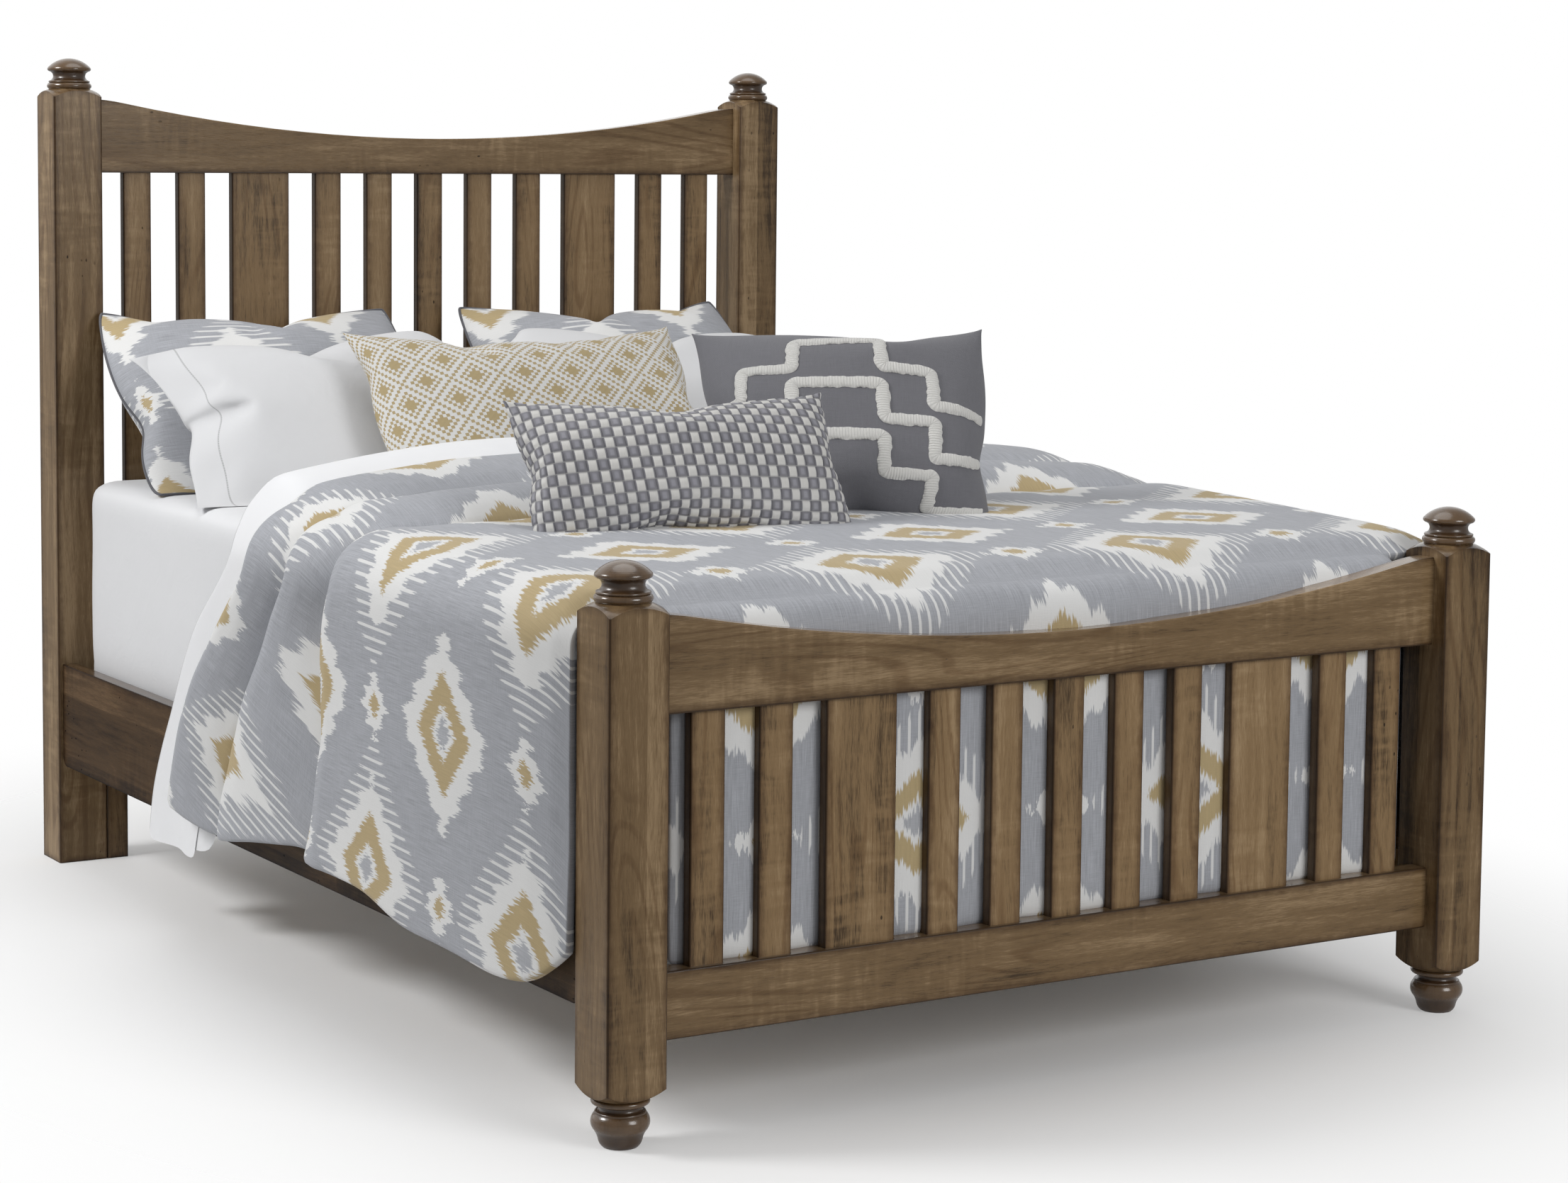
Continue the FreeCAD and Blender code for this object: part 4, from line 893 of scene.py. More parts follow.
def stacked(form, node, row, flip=1):
    """The form's points, mirrored where flip is -1, in their row of the stack on the mattress."""
    low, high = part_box(node)
    middle = ((low.x + high.x) / 2, *row)
    return laid(form.points * np.array([flip, 1, 1]), middle, STACK_LEAN, MATTRESS_HIGH.z)


def seam_ring(front):
    """Point numbers round the edge of the front panel."""
    return np.concatenate([front[0, :-1], front[:-1, -1], front[-1, :0:-1], front[:0:-1, 0]])


def raised(item, height):
    """Applies a piece's smoothing and raises each point square to the cloth by height(u, v)."""
    seen = item.evaluated_get(bpy.context.evaluated_depsgraph_get())
    mesh = bpy.data.meshes.new_from_object(seen)
    count = len(mesh.vertices)
    spots, normals, flat = np.empty(count * 3), np.empty(count * 3), np.empty(count * 3, np.float32)
    mesh.vertices.foreach_get("co", spots)
    mesh.vertices.foreach_get("normal", normals)
    mesh.attributes["cloth"].data.foreach_get("vector", flat)
    u, v, _ = flat.reshape(-1, 3).T
    spots = spots.reshape(-1, 3) + normals.reshape(-1, 3) * height(u, v)[:, None]
    mesh.vertices.foreach_set("co", spots.ravel())
    mesh.update()
    item.modifiers.clear()
    item.data = mesh


# Tapes of the grey cushion


# A tape's cross section: places across as shares of half its width, and how high each stands.
TAPE_SHAPE = (
    (-1.0, 0.0004),
    (-0.86, 0.0030),
    (-0.5, 0.0046),
    (0.0, 0.0050),
    (0.5, 0.0046),
    (0.86, 0.0030),
    (1.0, 0.0004),
)
# How closely points follow a tape's path, over how many of them its corners are eased, and its
# fringe: where across it starts, how ragged it is, and its seed.
TAPE_STEP, TAPE_EASE = 0.004, 7
FRINGE_FROM_SHARE, FRINGE, FRINGE_SEED = 0.8, 0.0016, 5
# The path of each tape: how far from the cushion's side and how high it starts, and its steps.
TAPE_INSET = 0.012
TAPE_STARTS = (-0.165, -0.075, 0.015)
TAPE_RISE, TAPE_END, TAPE_TREAD, TAPE_TOP = 0.062, 0.092, 0.074, 0.13
TAPE_STEPS = (
    (TAPE_END, 0),
    (0, TAPE_RISE),
    (TAPE_TREAD, 0),
    (0, TAPE_RISE),
    (TAPE_TOP, 0),
    (0, -TAPE_RISE),
    (TAPE_TREAD, 0),
    (0, -TAPE_RISE),
    (TAPE_END, 0),
)


def evened(values, width):
    """A row of values with its corners eased over so many neighbours."""
    kernel = np.hanning(width)
    padded = np.pad(values, width // 2, mode="reflect", reflect_type="odd")
    return np.convolve(padded, kernel / kernel.sum(), mode="valid")


def on_front(grid, size, spots):
    """What a grid over the front panel holds at flat places."""
    rows, columns = grid.shape[:2]
    across = np.clip((spots[:, 0] / size[0] + 0.5) * (columns - 1), 0, columns - 1.001)
    along = np.clip((spots[:, 1] / size[1] + 0.5) * (rows - 1), 0, rows - 1.001)
    i, j = across.astype(int), along.astype(int)
    a, b = (across - i)[:, None], (along - j)[:, None]
    low = grid[j, i] * (1 - a) + grid[j, i + 1] * a
    high = grid[j + 1, i] * (1 - a) + grid[j + 1, i + 1] * a
    return low * (1 - b) + high * b


def tape_strip(panel, size, corners, width, rng):
    """A raised tape along a path on the front panel: points, quads and cloth places."""
    reach = np.concatenate([[0], np.cumsum(np.linalg.norm(np.diff(corners, axis=0), axis=1))])
    along = np.linspace(0, reach[-1], int(reach[-1] / TAPE_STEP) + 1)
    spine = np.stack([evened(np.interp(along, reach, way), TAPE_EASE) for way in corners.T], axis=1)
    ahead = unit(np.gradient(spine, axis=0))
    aside = np.stack([-ahead[:, 1], ahead[:, 0]], axis=1)
    normals = grid_normals(panel)
    columns, cloth = [], []
    for share, height in TAPE_SHAPE:
        flat = np.full_like(along, share * width / 2)
        ragged = np.zeros_like(along)
        if abs(share) > FRINGE_FROM_SHARE:
            ragged = rng.uniform(-FRINGE, FRINGE, len(along)) * np.sign(share)
        spots = spine + aside * (flat + ragged)[:, None]
        columns.append(on_front(panel, size, spots) + on_front(normals, size, spots) * height)
        cloth.append(np.stack([along, flat, np.zeros_like(along)], axis=1))
    grid = np.stack(columns, axis=1)
    return grid.reshape(-1, 3), grid_faces(grid_numbers(grid.shape)), np.stack(cloth, axis=1).reshape(-1, 3)


# Duvet and sheet


# How far along a cross section a point lies: 0 to 1 on the top, 1 to 2 round the shoulder and 2 to 3
# down the side. Each guide gives the place along the bed of one line of the duvet or the sheet.
HEAD_GUIDE = [
    (0, 0.075), (0.6, 0.070), (0.85, 0.045), (1, 0.010), (2, -0.010), (2.09, 0.030), (2.28, 0.138),
    (2.475, 0.236), (2.66, 0.296), (2.89, 0.348), (3, 0.372),
]
FIRST_CREASE = [
    (0, -0.120), (1, -0.135), (2, -0.162), (2.14, -0.104), (2.33, -0.030), (2.48, 0.046), (2.70, 0.109),
    (2.86, 0.157), (3, 0.166),
]
SECOND_CREASE = [
    (0, -0.262), (1, -0.290), (2, -0.316), (2.1, -0.285), (2.5, -0.288), (2.7, -0.260), (2.85, -0.239),
    (3, -0.205),
]
FOOT_GUIDE = [(0, -1.016), (1, -1.016), (1.4, -1.018), (3, -1.020)]
SHEET_FOLD = [
    (0, 0.268), (0.6, 0.266), (0.85, 0.262), (1, 0.255), (1.5, 0.220), (2, 0.205), (2.216, 0.341),
    (2.458, 0.444), (2.67, 0.499), (2.864, 0.540), (3, 0.556),
]
# Along the duvet, 0 at its head edge and 1, 2 and 3 at each guide after it: how high its hem hangs.
DUVET_HEM = [
    (0, 0.239), (0.35, 0.236), (1, 0.205), (1.5, 0.240), (1.9, 0.258), (2, 0.240), (2.1, 0.246),
    (2.3, 0.244), (2.45, 0.212), (2.65, 0.208), (2.83, 0.197), (2.94, 0.213), (3, 0.262),
]
# Along the duvet: how far it stands out from a plain cover, on the top and on the side.
TOP_RISE = [
    (0, 0.074), (0.15, 0.079), (0.4, 0.074), (0.65, 0.063), (0.85, 0.045), (0.95, 0.029), (1, 0.006),
    (1.03, 0.028), (1.12, 0.049), (1.3, 0.057), (1.55, 0.050), (1.75, 0.036), (1.9, 0.018),
    (1.97, 0.004), (2, -0.008), (2.02, 0.004), (2.05, 0.010), (2.1, 0.011), (2.3, 0.007), (2.6, 0.001),
    (2.88, -0.002), (2.95, -0.010), (3, -0.034),
]
SIDE_RISE = [
    (0, 0.010), (0.10, 0.036), (0.28, 0.052), (0.5, 0.047), (0.7, 0.034), (0.86, 0.017), (0.95, 0.000),
    (1, -0.020), (1.025, 0.010), (1.1, 0.034), (1.28, 0.049), (1.5, 0.045), (1.7, 0.031), (1.86, 0.013),
    (1.95, -0.004), (2, -0.020), (2.008, 0.012), (2.03, 0.035), (2.08, 0.046), (2.25, 0.044),
    (2.5, 0.036), (2.78, 0.024), (2.9, 0.010), (2.96, -0.002), (3, -0.016),
]
# The mound under the turned-down sheet: how high it stands along the bed.
MOUND = [
    (-0.10, 0.002), (-0.02, 0.050), (0.05, 0.082), (0.09, 0.106), (0.13, 0.122), (0.17, 0.127),
    (0.20, 0.120), (0.225, 0.098), (0.245, 0.064), (0.260, 0.030), (0.272, 0.004), (0.60, 0.002),
]
# How finely a guide is read, and over how many steps its corners are eased.
GUIDE_STEPS, GUIDE_EASE = 241, 17

# How far inside the mattress the rounding of its covers starts.
CROWN_INSET = 0.045
# Rows of the duvet between its guides, columns on half its top, on a shoulder and on a side, how much
# the rows crowd, gaps above the mattress and beside the sheet, the share of its thickness that counts
# at the side, and the size of its shoulder.
DUVET_ROWS, DUVET_COLUMNS, DUVET_CROWDING_SHARE = (30, 24, 62), (30, 10, 30), 0.75
DUVET_GAP, DUVET_SIDE_GAP, DUVET_SIDE_SHARE, DUVET_SHOULDER = 0.004, 0.003, 0.6, 0.065
# Across the duvet: where its roll has faded and over how far, the least share of it that stays, where
# the side starts and over how far it takes over, and how much flatter the side is at its hem.
ROLL_UNTIL, ROLL_OVER, ROLL_LEAST_SHARE = 1.85, 1.45, 0.3
SIDE_FROM, SIDE_OVER, HEM_FLATTER_SHARE = 0.9, 1.1, 0.25
# Along the duvet: where the roll no longer fades across, and over how far that goes.
ROLL_END, ROLL_END_OVER = 2.15, 0.3
# Small folds: seed and height, and for the pushed and the pulled ones their stretch along each axis,
# scale and octaves. The pulled ones stand about two places along the duvet, so wide and so strong.
FOLD_SEED, FOLD_HEIGHT = 11, 0.0026
PUSHED_FOLDS, PULLED_FOLDS = ((1.0, 0.55, 1.0), 3.0, 3), ((2.2, 0.35, 1.6), 4.5, 2)
PULL_PLACES, PULL_SHARE = ((1.0, 0.35), (2.12, 0.22)), 1.3
# The fall at the foot: rows, height of its hem, length of its cloth, inset from the mattress's sides,
# gap before the mattress, its pleats, and the height and share of the rows of its rounded edge.
FALL_ROWS, FALL_HEM, FALL_CLOTH = 25, 0.236, 0.524
FALL_INSET, FALL_GAP = 0.072, 0.020
PLEAT_DEPTH, PLEAT_WIDTH, PLEAT_PHASE = 0.009, 0.29, 0.6
FALL_EDGE, FALL_EDGE_SHARE = 0.03, 0.10
# The flat sheet: columns, rows of each layer, how far each layer reaches from the fold, its hems,
# how far and from where the lower one is drawn up, its gaps and shoulder, and waves of its sides.
SHEET_COLUMNS, TURNED_ROWS, LOWER_ROWS = (26, 8, 30), 10, 46
TURNED_REACH, LOWER_REACH = 0.22, 1.25
TURNED_HEM, LOWER_HEM, TUCKED_RISE = 0.140, 0.156, 0.18
TUCK_FROM, TUCK_OVER = 0.27, 0.10
SHEET_GAP, SHEET_SIDE_GAP, SHEET_SHOULDER, LAYER_GAP = 0.002, -0.001, 0.06, 0.0016
WAVE_DEPTH, WAVE_WIDTH, WAVE_PHASE = 0.007, 0.17, 1.0


def read(table, at):
    """A table read at these places."""
    return np.interp(at, *np.array(table).T)


def smooth_line(table, at):
    """A table read with its corners eased."""
    fine = np.linspace(table[0][0], table[-1][0], GUIDE_STEPS)
    return np.interp(at, fine, evened(read(table, fine), GUIDE_EASE))


def gentle(share):
    """A share from 0 to 1 that starts and ends softly."""
    share = np.clip(share, 0, 1)
    return share * share * (3 - 2 * share)


def section(counts):
    """Places across a section from hem to hem, so many on half the top, round a shoulder and down a
    side, and the side of the bed that each lies on."""
    top = np.linspace(0, 1, counts[0], endpoint=False)
    bend = np.linspace(1, 2, counts[1], endpoint=False)
    half = np.concatenate([top, bend, np.linspace(2, 3, counts[2])])
    sign = np.concatenate([-np.ones(len(half) - 1), np.ones(len(half))])
    return np.concatenate([half[:0:-1], half]), sign


def cross(place, top, side, drop, hem):
    """Across and height of the places of a section, with the outward direction there."""
    crown = MATTRESS_HIGH.x - CROWN_INSET
    turn = np.clip(place - 1, 0, 1) * math.pi / 2
    on_top, on_side = place < 1, place > 2
    x = np.where(on_top, crown * place, crown + (side - crown) * np.sin(turn))
    z = np.where(on_top, top, top - drop * (1 - np.cos(turn)))
    z = np.where(on_side, top - drop + (hem - top + drop) * (place - 2), z)
    out_x = np.where(on_top, 0.0, np.where(on_side, 1.0, np.sin(turn)))
    return x, z, out_x, np.sqrt(1 - out_x**2)


def crown_share(place):
    """How much of a roll is left at a place across: all of it in the middle, none down the side."""
    return gentle((ROLL_UNTIL - place) / ROLL_OVER)


def duvet_lines():
    """Places along the duvet that crowd towards the guides."""
    lines = []
    for zone, count in enumerate(DUVET_ROWS):
        even = np.linspace(0, 1, count, endpoint=False)
        lines.append(zone + even - DUVET_CROWDING_SHARE * np.sin(2 * math.pi * even) / (2 * math.pi))
    return np.concatenate(lines + [[float(len(DUVET_ROWS))]])


def duvet_points(thick, roll, lines, place, sign):
    """The duvet's outside as a grid of points, from its head edge to its foot."""
    guides = [smooth_line(guide, place) for guide in (HEAD_GUIDE, FIRST_CREASE, SECOND_CREASE, FOOT_GUIDE)]
    top = MATTRESS_HIGH.z + DUVET_GAP + thick
    side = SHEET_HIGH.x + DUVET_SIDE_GAP + thick * DUVET_SIDE_SHARE
    on_side = gentle((place - SIDE_FROM) / SIDE_OVER)
    hang = np.where(place > 2, 1 - HEM_FLATTER_SHARE * (place - 2) ** 2, 1)
    flatter = 1 - np.maximum(crown_share(place), ROLL_LEAST_SHARE)
    points = np.empty((len(lines), len(place), 3))
    for row, zone in enumerate(lines):
        lower = min(int(zone), len(DUVET_ROWS) - 1)
        share = zone - lower
        y = guides[lower] * (1 - share) + guides[lower + 1] * share
        x, z, out_x, out_z = cross(place, top, side, DUVET_SHOULDER, smooth_line(DUVET_HEM, zone))
        rolled = 1 - flatter * np.clip((ROLL_END - zone) / ROLL_END_OVER, 0, 1)
        above = read(TOP_RISE, zone) * roll * rolled * (1 - on_side)
        rise = (above + read(SIDE_RISE, zone) * on_side) * hang
        points[row] = np.stack([sign * (x + out_x * rise), y, z + out_z * rise], axis=1)
    return points


def fold_depths(points, lines):
    """How deep small soft folds are pressed into the duvet, with pulled ones beside the creases."""
    folds = []
    for seed, (stretch, scale, octaves) in enumerate((PUSHED_FOLDS, PULLED_FOLDS), start=FOLD_SEED):
        noise = wave_noise(points.reshape(-1, 3) * np.array(stretch), scale, seed, octaves)
        folds.append(noise.reshape(points.shape[:2]))
    near = sum(np.exp(-(((lines - at) / wide) ** 2)) for at, wide in PULL_PLACES)
    return (folds[0] + folds[1] * near[:, None] * PULL_SHARE) * FOLD_HEIGHT


def foot_fall(edge, edge_cloth):
    """The fall that hangs from the duvet's foot edge: its points and cloth places, row by row."""
    x, y, z = edge.T
    crest = 0.5 + 0.5 * np.sin(x * 2 * math.pi / PLEAT_WIDTH + PLEAT_PHASE)
    front = -(MATTRESS_HIGH.y + FALL_GAP + PLEAT_DEPTH * crest)
    rows, cloth = [], []
    for step in np.linspace(0, 1, FALL_ROWS + 1)[1:]:
        bend = min(step / FALL_EDGE_SHARE, 1.0) * math.pi / 2
        straight = max(step - FALL_EDGE_SHARE, 0) / (1 - FALL_EDGE_SHARE)
        drop = FALL_EDGE * (1 - math.cos(bend)) + (z - FALL_HEM - FALL_EDGE) * straight
        rows.append(np.stack([x, y + (front - y) * math.sin(bend), z - drop], axis=1))
        cloth.append(edge_cloth + np.array([0, step * FALL_CLOTH, 0]))
    return np.array(rows), np.array(cloth)


def flat_places(points):
    """Cloth places of a grid: lengths along its rows from the middle, and along its middle column."""
    across = np.linalg.norm(np.diff(points, axis=1), axis=2)
    along = np.linalg.norm(np.diff(points, axis=0), axis=2)
    u = np.pad(np.cumsum(across, axis=1), ((0, 0), (1, 0)))
    middle = points.shape[1] // 2
    u -= u[:, middle : middle + 1]
    v = np.pad(np.cumsum(along[:, middle]), (1, 0))
    return np.stack([u, np.broadcast_to(v[:, None], u.shape), np.zeros_like(u)], axis=2)


def sheet_points():
    """The flat sheet as a grid of points: the turned-down layer from its hem to the fold, then the
    layer below it."""
    place, sign = section(SHEET_COLUMNS)
    fold = smooth_line(SHEET_FOLD, place)
    turned = [(run, True) for run in np.linspace(TURNED_REACH, 0.0, TURNED_ROWS, endpoint=False)]
    lower = [(run, False) for run in np.linspace(0.0, LOWER_REACH, LOWER_ROWS)]
    rows = []
    for run, upper in turned + lower:
        tucked = LOWER_HEM + TUCKED_RISE * np.clip((run - TUCK_FROM) / TUCK_OVER, 0, 1)
        lift = LAYER_GAP if upper else 0.0
        top, side = MATTRESS_HIGH.z + SHEET_GAP + lift, SHEET_HIGH.x + SHEET_SIDE_GAP + lift
        x, z, out_x, _ = cross(place, top, side, SHEET_SHOULDER, TURNED_HEM if upper else tucked)
        y = fold - run
        ridge = read(MOUND, y) * crown_share(place)
        wave = WAVE_DEPTH * (1 + np.sin(y * 2 * math.pi / WAVE_WIDTH + WAVE_PHASE)) * np.clip(place - 2, 0, 1)
        rows.append(np.stack([sign * (x + wave * out_x), y, z + ridge], axis=1))
    return np.array(rows)


# Looks of the pieces


# Spreads numbers of pieces evenly over 0 to 1.
GOLDEN_SHARE = 0.6180339


def maple_look(**changes):
    """Colours and shares of the stained maple, with changes for one kind of piece."""
    stain = settings().wood
    look = {
        "dark": tuple(stain.dark),
        "mid": tuple(stain.mid),
        "light": tuple(stain.light),
        "edge": tuple(stain.edge),
        "growth": (0.62, 0.54, 0.46, 1.0),
        # The line colour also paints the shade on the flanks.
        "line": (0.20, 0.15, 0.11, 1.0),
        "mark": (0.10, 0.08, 0.06, 1.0),
        "dash": (0.42, 0.33, 0.23, 1.0),
        "dash_share": 0.0,
        "strip_width": stain.strip_width,
        "strip_contrast": 0.48,
        "flank_share": 0.0,
        "polish": 0.82,
        "edge_width": stain.edge_width,
        "edge_share": 0.75,
        "rough": 0.38,
        "coat": 0.13,
        "specular": 0.22,
    }
    return dict(look, **changes)


def slat_look():
    return maple_look(
        mid=(0.258, 0.166, 0.081, 1.0),
        light=(0.385, 0.268, 0.148, 1.0),
        # Painted shade on the slats' flanks.
        flank_share=0.6,
        strip_width=0.11,
        strip_contrast=0.12,
    )


# The side rails take a darker stain than the rest of the frame, a painted shade, and light dashes.
def shaded_side_look():
    return maple_look(
        dark=(0.026, 0.014, 0.007, 1.0),
        mid=(0.072, 0.042, 0.020, 1.0),
        light=(0.150, 0.092, 0.048, 1.0),
        dash_share=0.6,
        rough=0.52,
        coat=0.02,
        specular=0.10,
    )


def turned_look():
    return maple_look(
        dark=(0.040, 0.021, 0.009, 1.0),
        mid=(0.110, 0.062, 0.027, 1.0),
        light=(0.205, 0.128, 0.064, 1.0),
        rough=0.24,
        coat=0.5,
    )


def ikat_look(**changes):
    """Colours of the ikat, and its sizes in metres across and along the cloth."""
    bedding = settings().bedding
    look = {
        "ground": tuple(bedding.ground),
        "ground_dark": toned(bedding.ground, 0.62),
        "white": (0.80, 0.80, 0.79, 1.0),
        "white_dark": grey(0.66),
        "ochre": tuple(bedding.ochre),
        "ochre_dark": toned(bedding.ochre, 0.66),
        "feather": 0.024,
        "yarn": 0.0017,
        "stray": 0.11,
        "repeat": (0.52, 0.44),
        "medal": (0.150, 0.125),
        "flower": (0.052, 0.040),
        "crumple": 0.5,
    }
    return dict(look, **changes)


def diamond_look():
    """Colours of the woven diamonds, with a white darkened as a painted shade, the size of a stitch, stitches
    in a repeat and rings in beige.
    """
    beige = settings().cushions.beige
    return {
        "stitch": 0.0066,
        "count": 14,
        "rings": (4.0, 7.0),
        # Painted shade: the white ground is darker than the white cotton.
        "white": (0.62, 0.61, 0.585, 1.0),
        "white_light": grey(0.66),
        "beige": tuple(beige),
        "beige_dark": toned(beige, 0.75),
    }


def ribbon_look():
    """Colours of the woven ribbons, of their painted satin highlight and of the painted shade in their gaps
    and borders, and their pitch across and along.
    """
    cushions = settings().cushions
    return {
        "pitch": (0.0171, 0.0182),
        "grey": tuple(cushions.ribbon),
        "grey_dark": toned(cushions.ribbon, 0.7),
        "cream": tuple(cushions.cream),
        "cream_dark": toned(cushions.cream, 0.82),
        # The pale satin grey paints both the highlight on the grey ribbons and the shade on the cream ones.
        "painted_satin_light": (0.40, 0.40, 0.45, 1.0),
        # Painted shade in the gaps between the ribbons and along their borders.
        "under": grey(0.22),
    }


# Operators


class POSTERBED_OT_wood(bpy.types.Operator):
    """Finish every wooden, iron and plastic piece of the frame"""

    bl_idname = "poster_bed.wood"
    bl_label = "Finish the frame"

    def execute(self, context):
        finishes = [
            (IRON, brushed_iron("hook_iron", grey(0.32))),
            (TURNED, turned_wood("turned_maple", turned_look())),
            (SLATS, wood("slat_maple", 2, slat_look())),
            (UPRIGHT, wood("upright_maple", 2, maple_look())),
            (ACROSS, wood("cross_maple", 0, maple_look(strip_width=0.075, strip_contrast=0.16))),
            (LENGTHWISE, wood("side_maple", 1, shaded_side_look())),
            (PLAIN, plain_wood("inner_wood", tuple(settings().wood.inner))),
            (GLIDES, moulded_plastic("glide_plastic", grey(0.012))),
        ]
        for number, (node, item) in enumerate(sorted(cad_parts.items())):
            fitting = [finish for words, finish in finishes if any(word in node for word in words)]
            if fitting:
                low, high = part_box(node)
                item["plank"] = (number * GOLDEN_SHARE) % 1.0
                item["middle"] = list((low + high) / 2)
                item["half"] = list((high - low) / 2)
                item.data.materials.clear()
                item.data.materials.append(fitting[0])
        return {"FINISHED"}


# Cells of the mattress and the box spring along each axis.
MATTRESS_CELLS, SPRING_CELLS = (44, 56, 16), (36, 46, 8)
# The underside that the tuck leaves flat: how far up it counts, and how far in from the sides.
UNDERSIDE_UP, UNDERSIDE_IN = 0.002, 0.05
# Dimples of the fitted sheet: scale, seed, octaves, depth, and how far the sheet is drawn in.
DIMPLES, DIMPLE_DEPTH, SHEET_PULL = (2.6, 3, 3), 0.0028, 0.0035


class POSTERBED_OT_mattress(bpy.types.Operator):
    """Make the box spring and the mattress with its fitted sheet"""

    bl_idname = "poster_bed.mattress"
    bl_label = "Make the mattress"

    corner: length_setting("Corner", "Radius of the mattress corners in plan", 0.075)
    edge: length_setting("Edge", "Radius of the mattress edges", 0.036)
    tuck: length_setting("Tuck", "How far the fitted sheet reaches below the mattress", 0.085)
    tuck_over: length_setting("Tuck over", "Height over which the fitted sheet is drawn down", 0.06)
    spring_corner: length_setting("Spring corner", "Radius of the box spring's corners in plan", 0.045)
    spring_edge: length_setting("Spring edge", "Radius of the box spring's edges", 0.012)
    spring_gap: length_setting("Spring gap", "Gap between the box spring and its bay", 0.008)

    def execute(self, context):
        low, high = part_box("mattress")
        points, faces = soft_box(low, high, self.corner, self.edge, MATTRESS_CELLS)
        underside = (points[:, 2] < low.z + UNDERSIDE_UP) & (np.abs(points[:, 0]) < high.x - UNDERSIDE_IN)
        tucked = np.clip((low.z + self.tuck_over - points[:, 2]) / self.tuck_over, 0, 1)
        away = unit(points - np.array((low + high) / 2))
        points += away * (wave_noise(points, *DIMPLES)[:, None] * DIMPLE_DEPTH - SHEET_PULL)
        points[:, 2] -= np.where(underside, 0.0, tucked * self.tuck)
        mattress = make_object("mattress_form", points, faces)
        cover = cotton("fitted_sheet", tuple(settings().bedding.white), 0.35)
        dress(mattress, cover, "bed", "white_cotton", "mattress")
        low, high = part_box("box_spring")
        inset = Vector((self.spring_gap, self.spring_gap, 0.0))
        rounding = self.spring_corner, self.spring_edge
        points, faces = soft_box(low + inset, high - inset, *rounding, SPRING_CELLS)
        spring = make_object("box_spring_form", points, faces)
        ticking = cotton("box_ticking", (0.70, 0.70, 0.69, 1.0), 0.2)
        dress(spring, ticking, "bed", "ticking", "box_spring")
        return {"FINISHED"}


class POSTERBED_OT_sheet(bpy.types.Operator):
    """Make the flat sheet that shows beside the duvet's head edge"""

    bl_idname = "poster_bed.sheet"
    bl_label = "Make the flat sheet"

    def execute(self, context):
        points = sheet_points()
        cloth = flat_places(points)
        faces = grid_faces(grid_numbers(points.shape))
        sheet = make_object("flat_sheet_cloth", points.reshape(-1, 3), faces, cloth.reshape(-1, 3))
        # The flat sheet takes the white cotton lightened by 1.08: painted light.
        white = cotton("flat_sheet_cotton", toned(settings().bedding.white, 1.08), 0.3)
        dress(sheet, white, "bed", "white_cotton", "flat_sheet")
        return {"FINISHED"}


class POSTERBED_OT_duvet(bpy.types.Operator):
    """Make the duvet with its turned-down roll, side pleats and the fall behind the foot slats"""

    bl_idname = "poster_bed.duvet"
    bl_label = "Make the duvet"

    def execute(self, context):
        bedding = settings().bedding
        lines = duvet_lines()
        place, sign = section(DUVET_COLUMNS)
        points = duvet_points(bedding.duvet_thickness, bedding.roll, lines, place, sign)
        points -= grid_normals(points) * fold_depths(points, lines)[:, :, None]
        cloth = flat_places(points)
        index = grid_numbers(points.shape)
        between = (np.abs(points[-1, :, 0]) < MATTRESS_HIGH.x - FALL_INSET) & (place <= 1)
        fall, fall_cloth = foot_fall(points[-1, between], cloth[-1, between])
        fall_index = np.concatenate([index[-1:, between], grid_numbers(fall.shape, index.size)])
        duvet = make_object(
            "duvet_cover",
            np.concatenate([points.reshape(-1, 3), fall.reshape(-1, 3)]),
            np.concatenate([grid_faces(index), grid_faces(fall_index)]),
            np.concatenate([cloth.reshape(-1, 3), fall_cloth.reshape(-1, 3)]),
            subdivide=0,
        )
        wall = duvet.modifiers.new("Filling", "SOLIDIFY")
        wall.thickness = bedding.duvet_thickness
        wall.offset = -1.0
        add_smoothing(duvet, 1)
        dress(duvet, ikat("ikat_duvet", ikat_look()), "bed", "ikat_cotton", "duvet")
        return {"FINISHED"}


class POSTERBED_OT_shams(bpy.types.Operator):
    """Make the two patterned shams with their piping"""

    bl_idname = "poster_bed.shams"
    bl_label = "Make the shams"

    piping: length_setting("Piping", "Radius of the piping round each sham", 0.0030)

    def execute(self, context):
        form = cushion_form(SHAM_SIZE, SHAM_FILLING)
        ring = seam_ring(form.front)
        cover = ikat("ikat_sham", ikat_look(repeat=(0.50, 0.40)))
        cord = linen("sham_piping_cloth", (0.16, 0.16, 0.175, 1.0), (0.07, 0.07, 0.08, 1.0))
        for side, flip in PAIR:
            node = f"sham_{side}"
            points = stacked(form, node, SHAM_ROW, flip)
            start = np.array([SHAM_PRINT[0], SHAM_PRINT[1] + SHAM_PRINT_SHIFT * flip, 0])
            places = form.cloth[:, [1, 0, 2]] + start
            sham = make_object(f"{node}_form", points, form.faces[:, ::flip], places)
            dress(sham, cover, "shams", "ikat_cotton", node)
            pipe_points, pipe_faces = tube(points[ring], self.piping)
            piping = make_object(f"{node}_piping", pipe_points, pipe_faces, pipe_points)
            dress(piping, cord, "shams", "ikat_cotton")
        return {"FINISHED"}


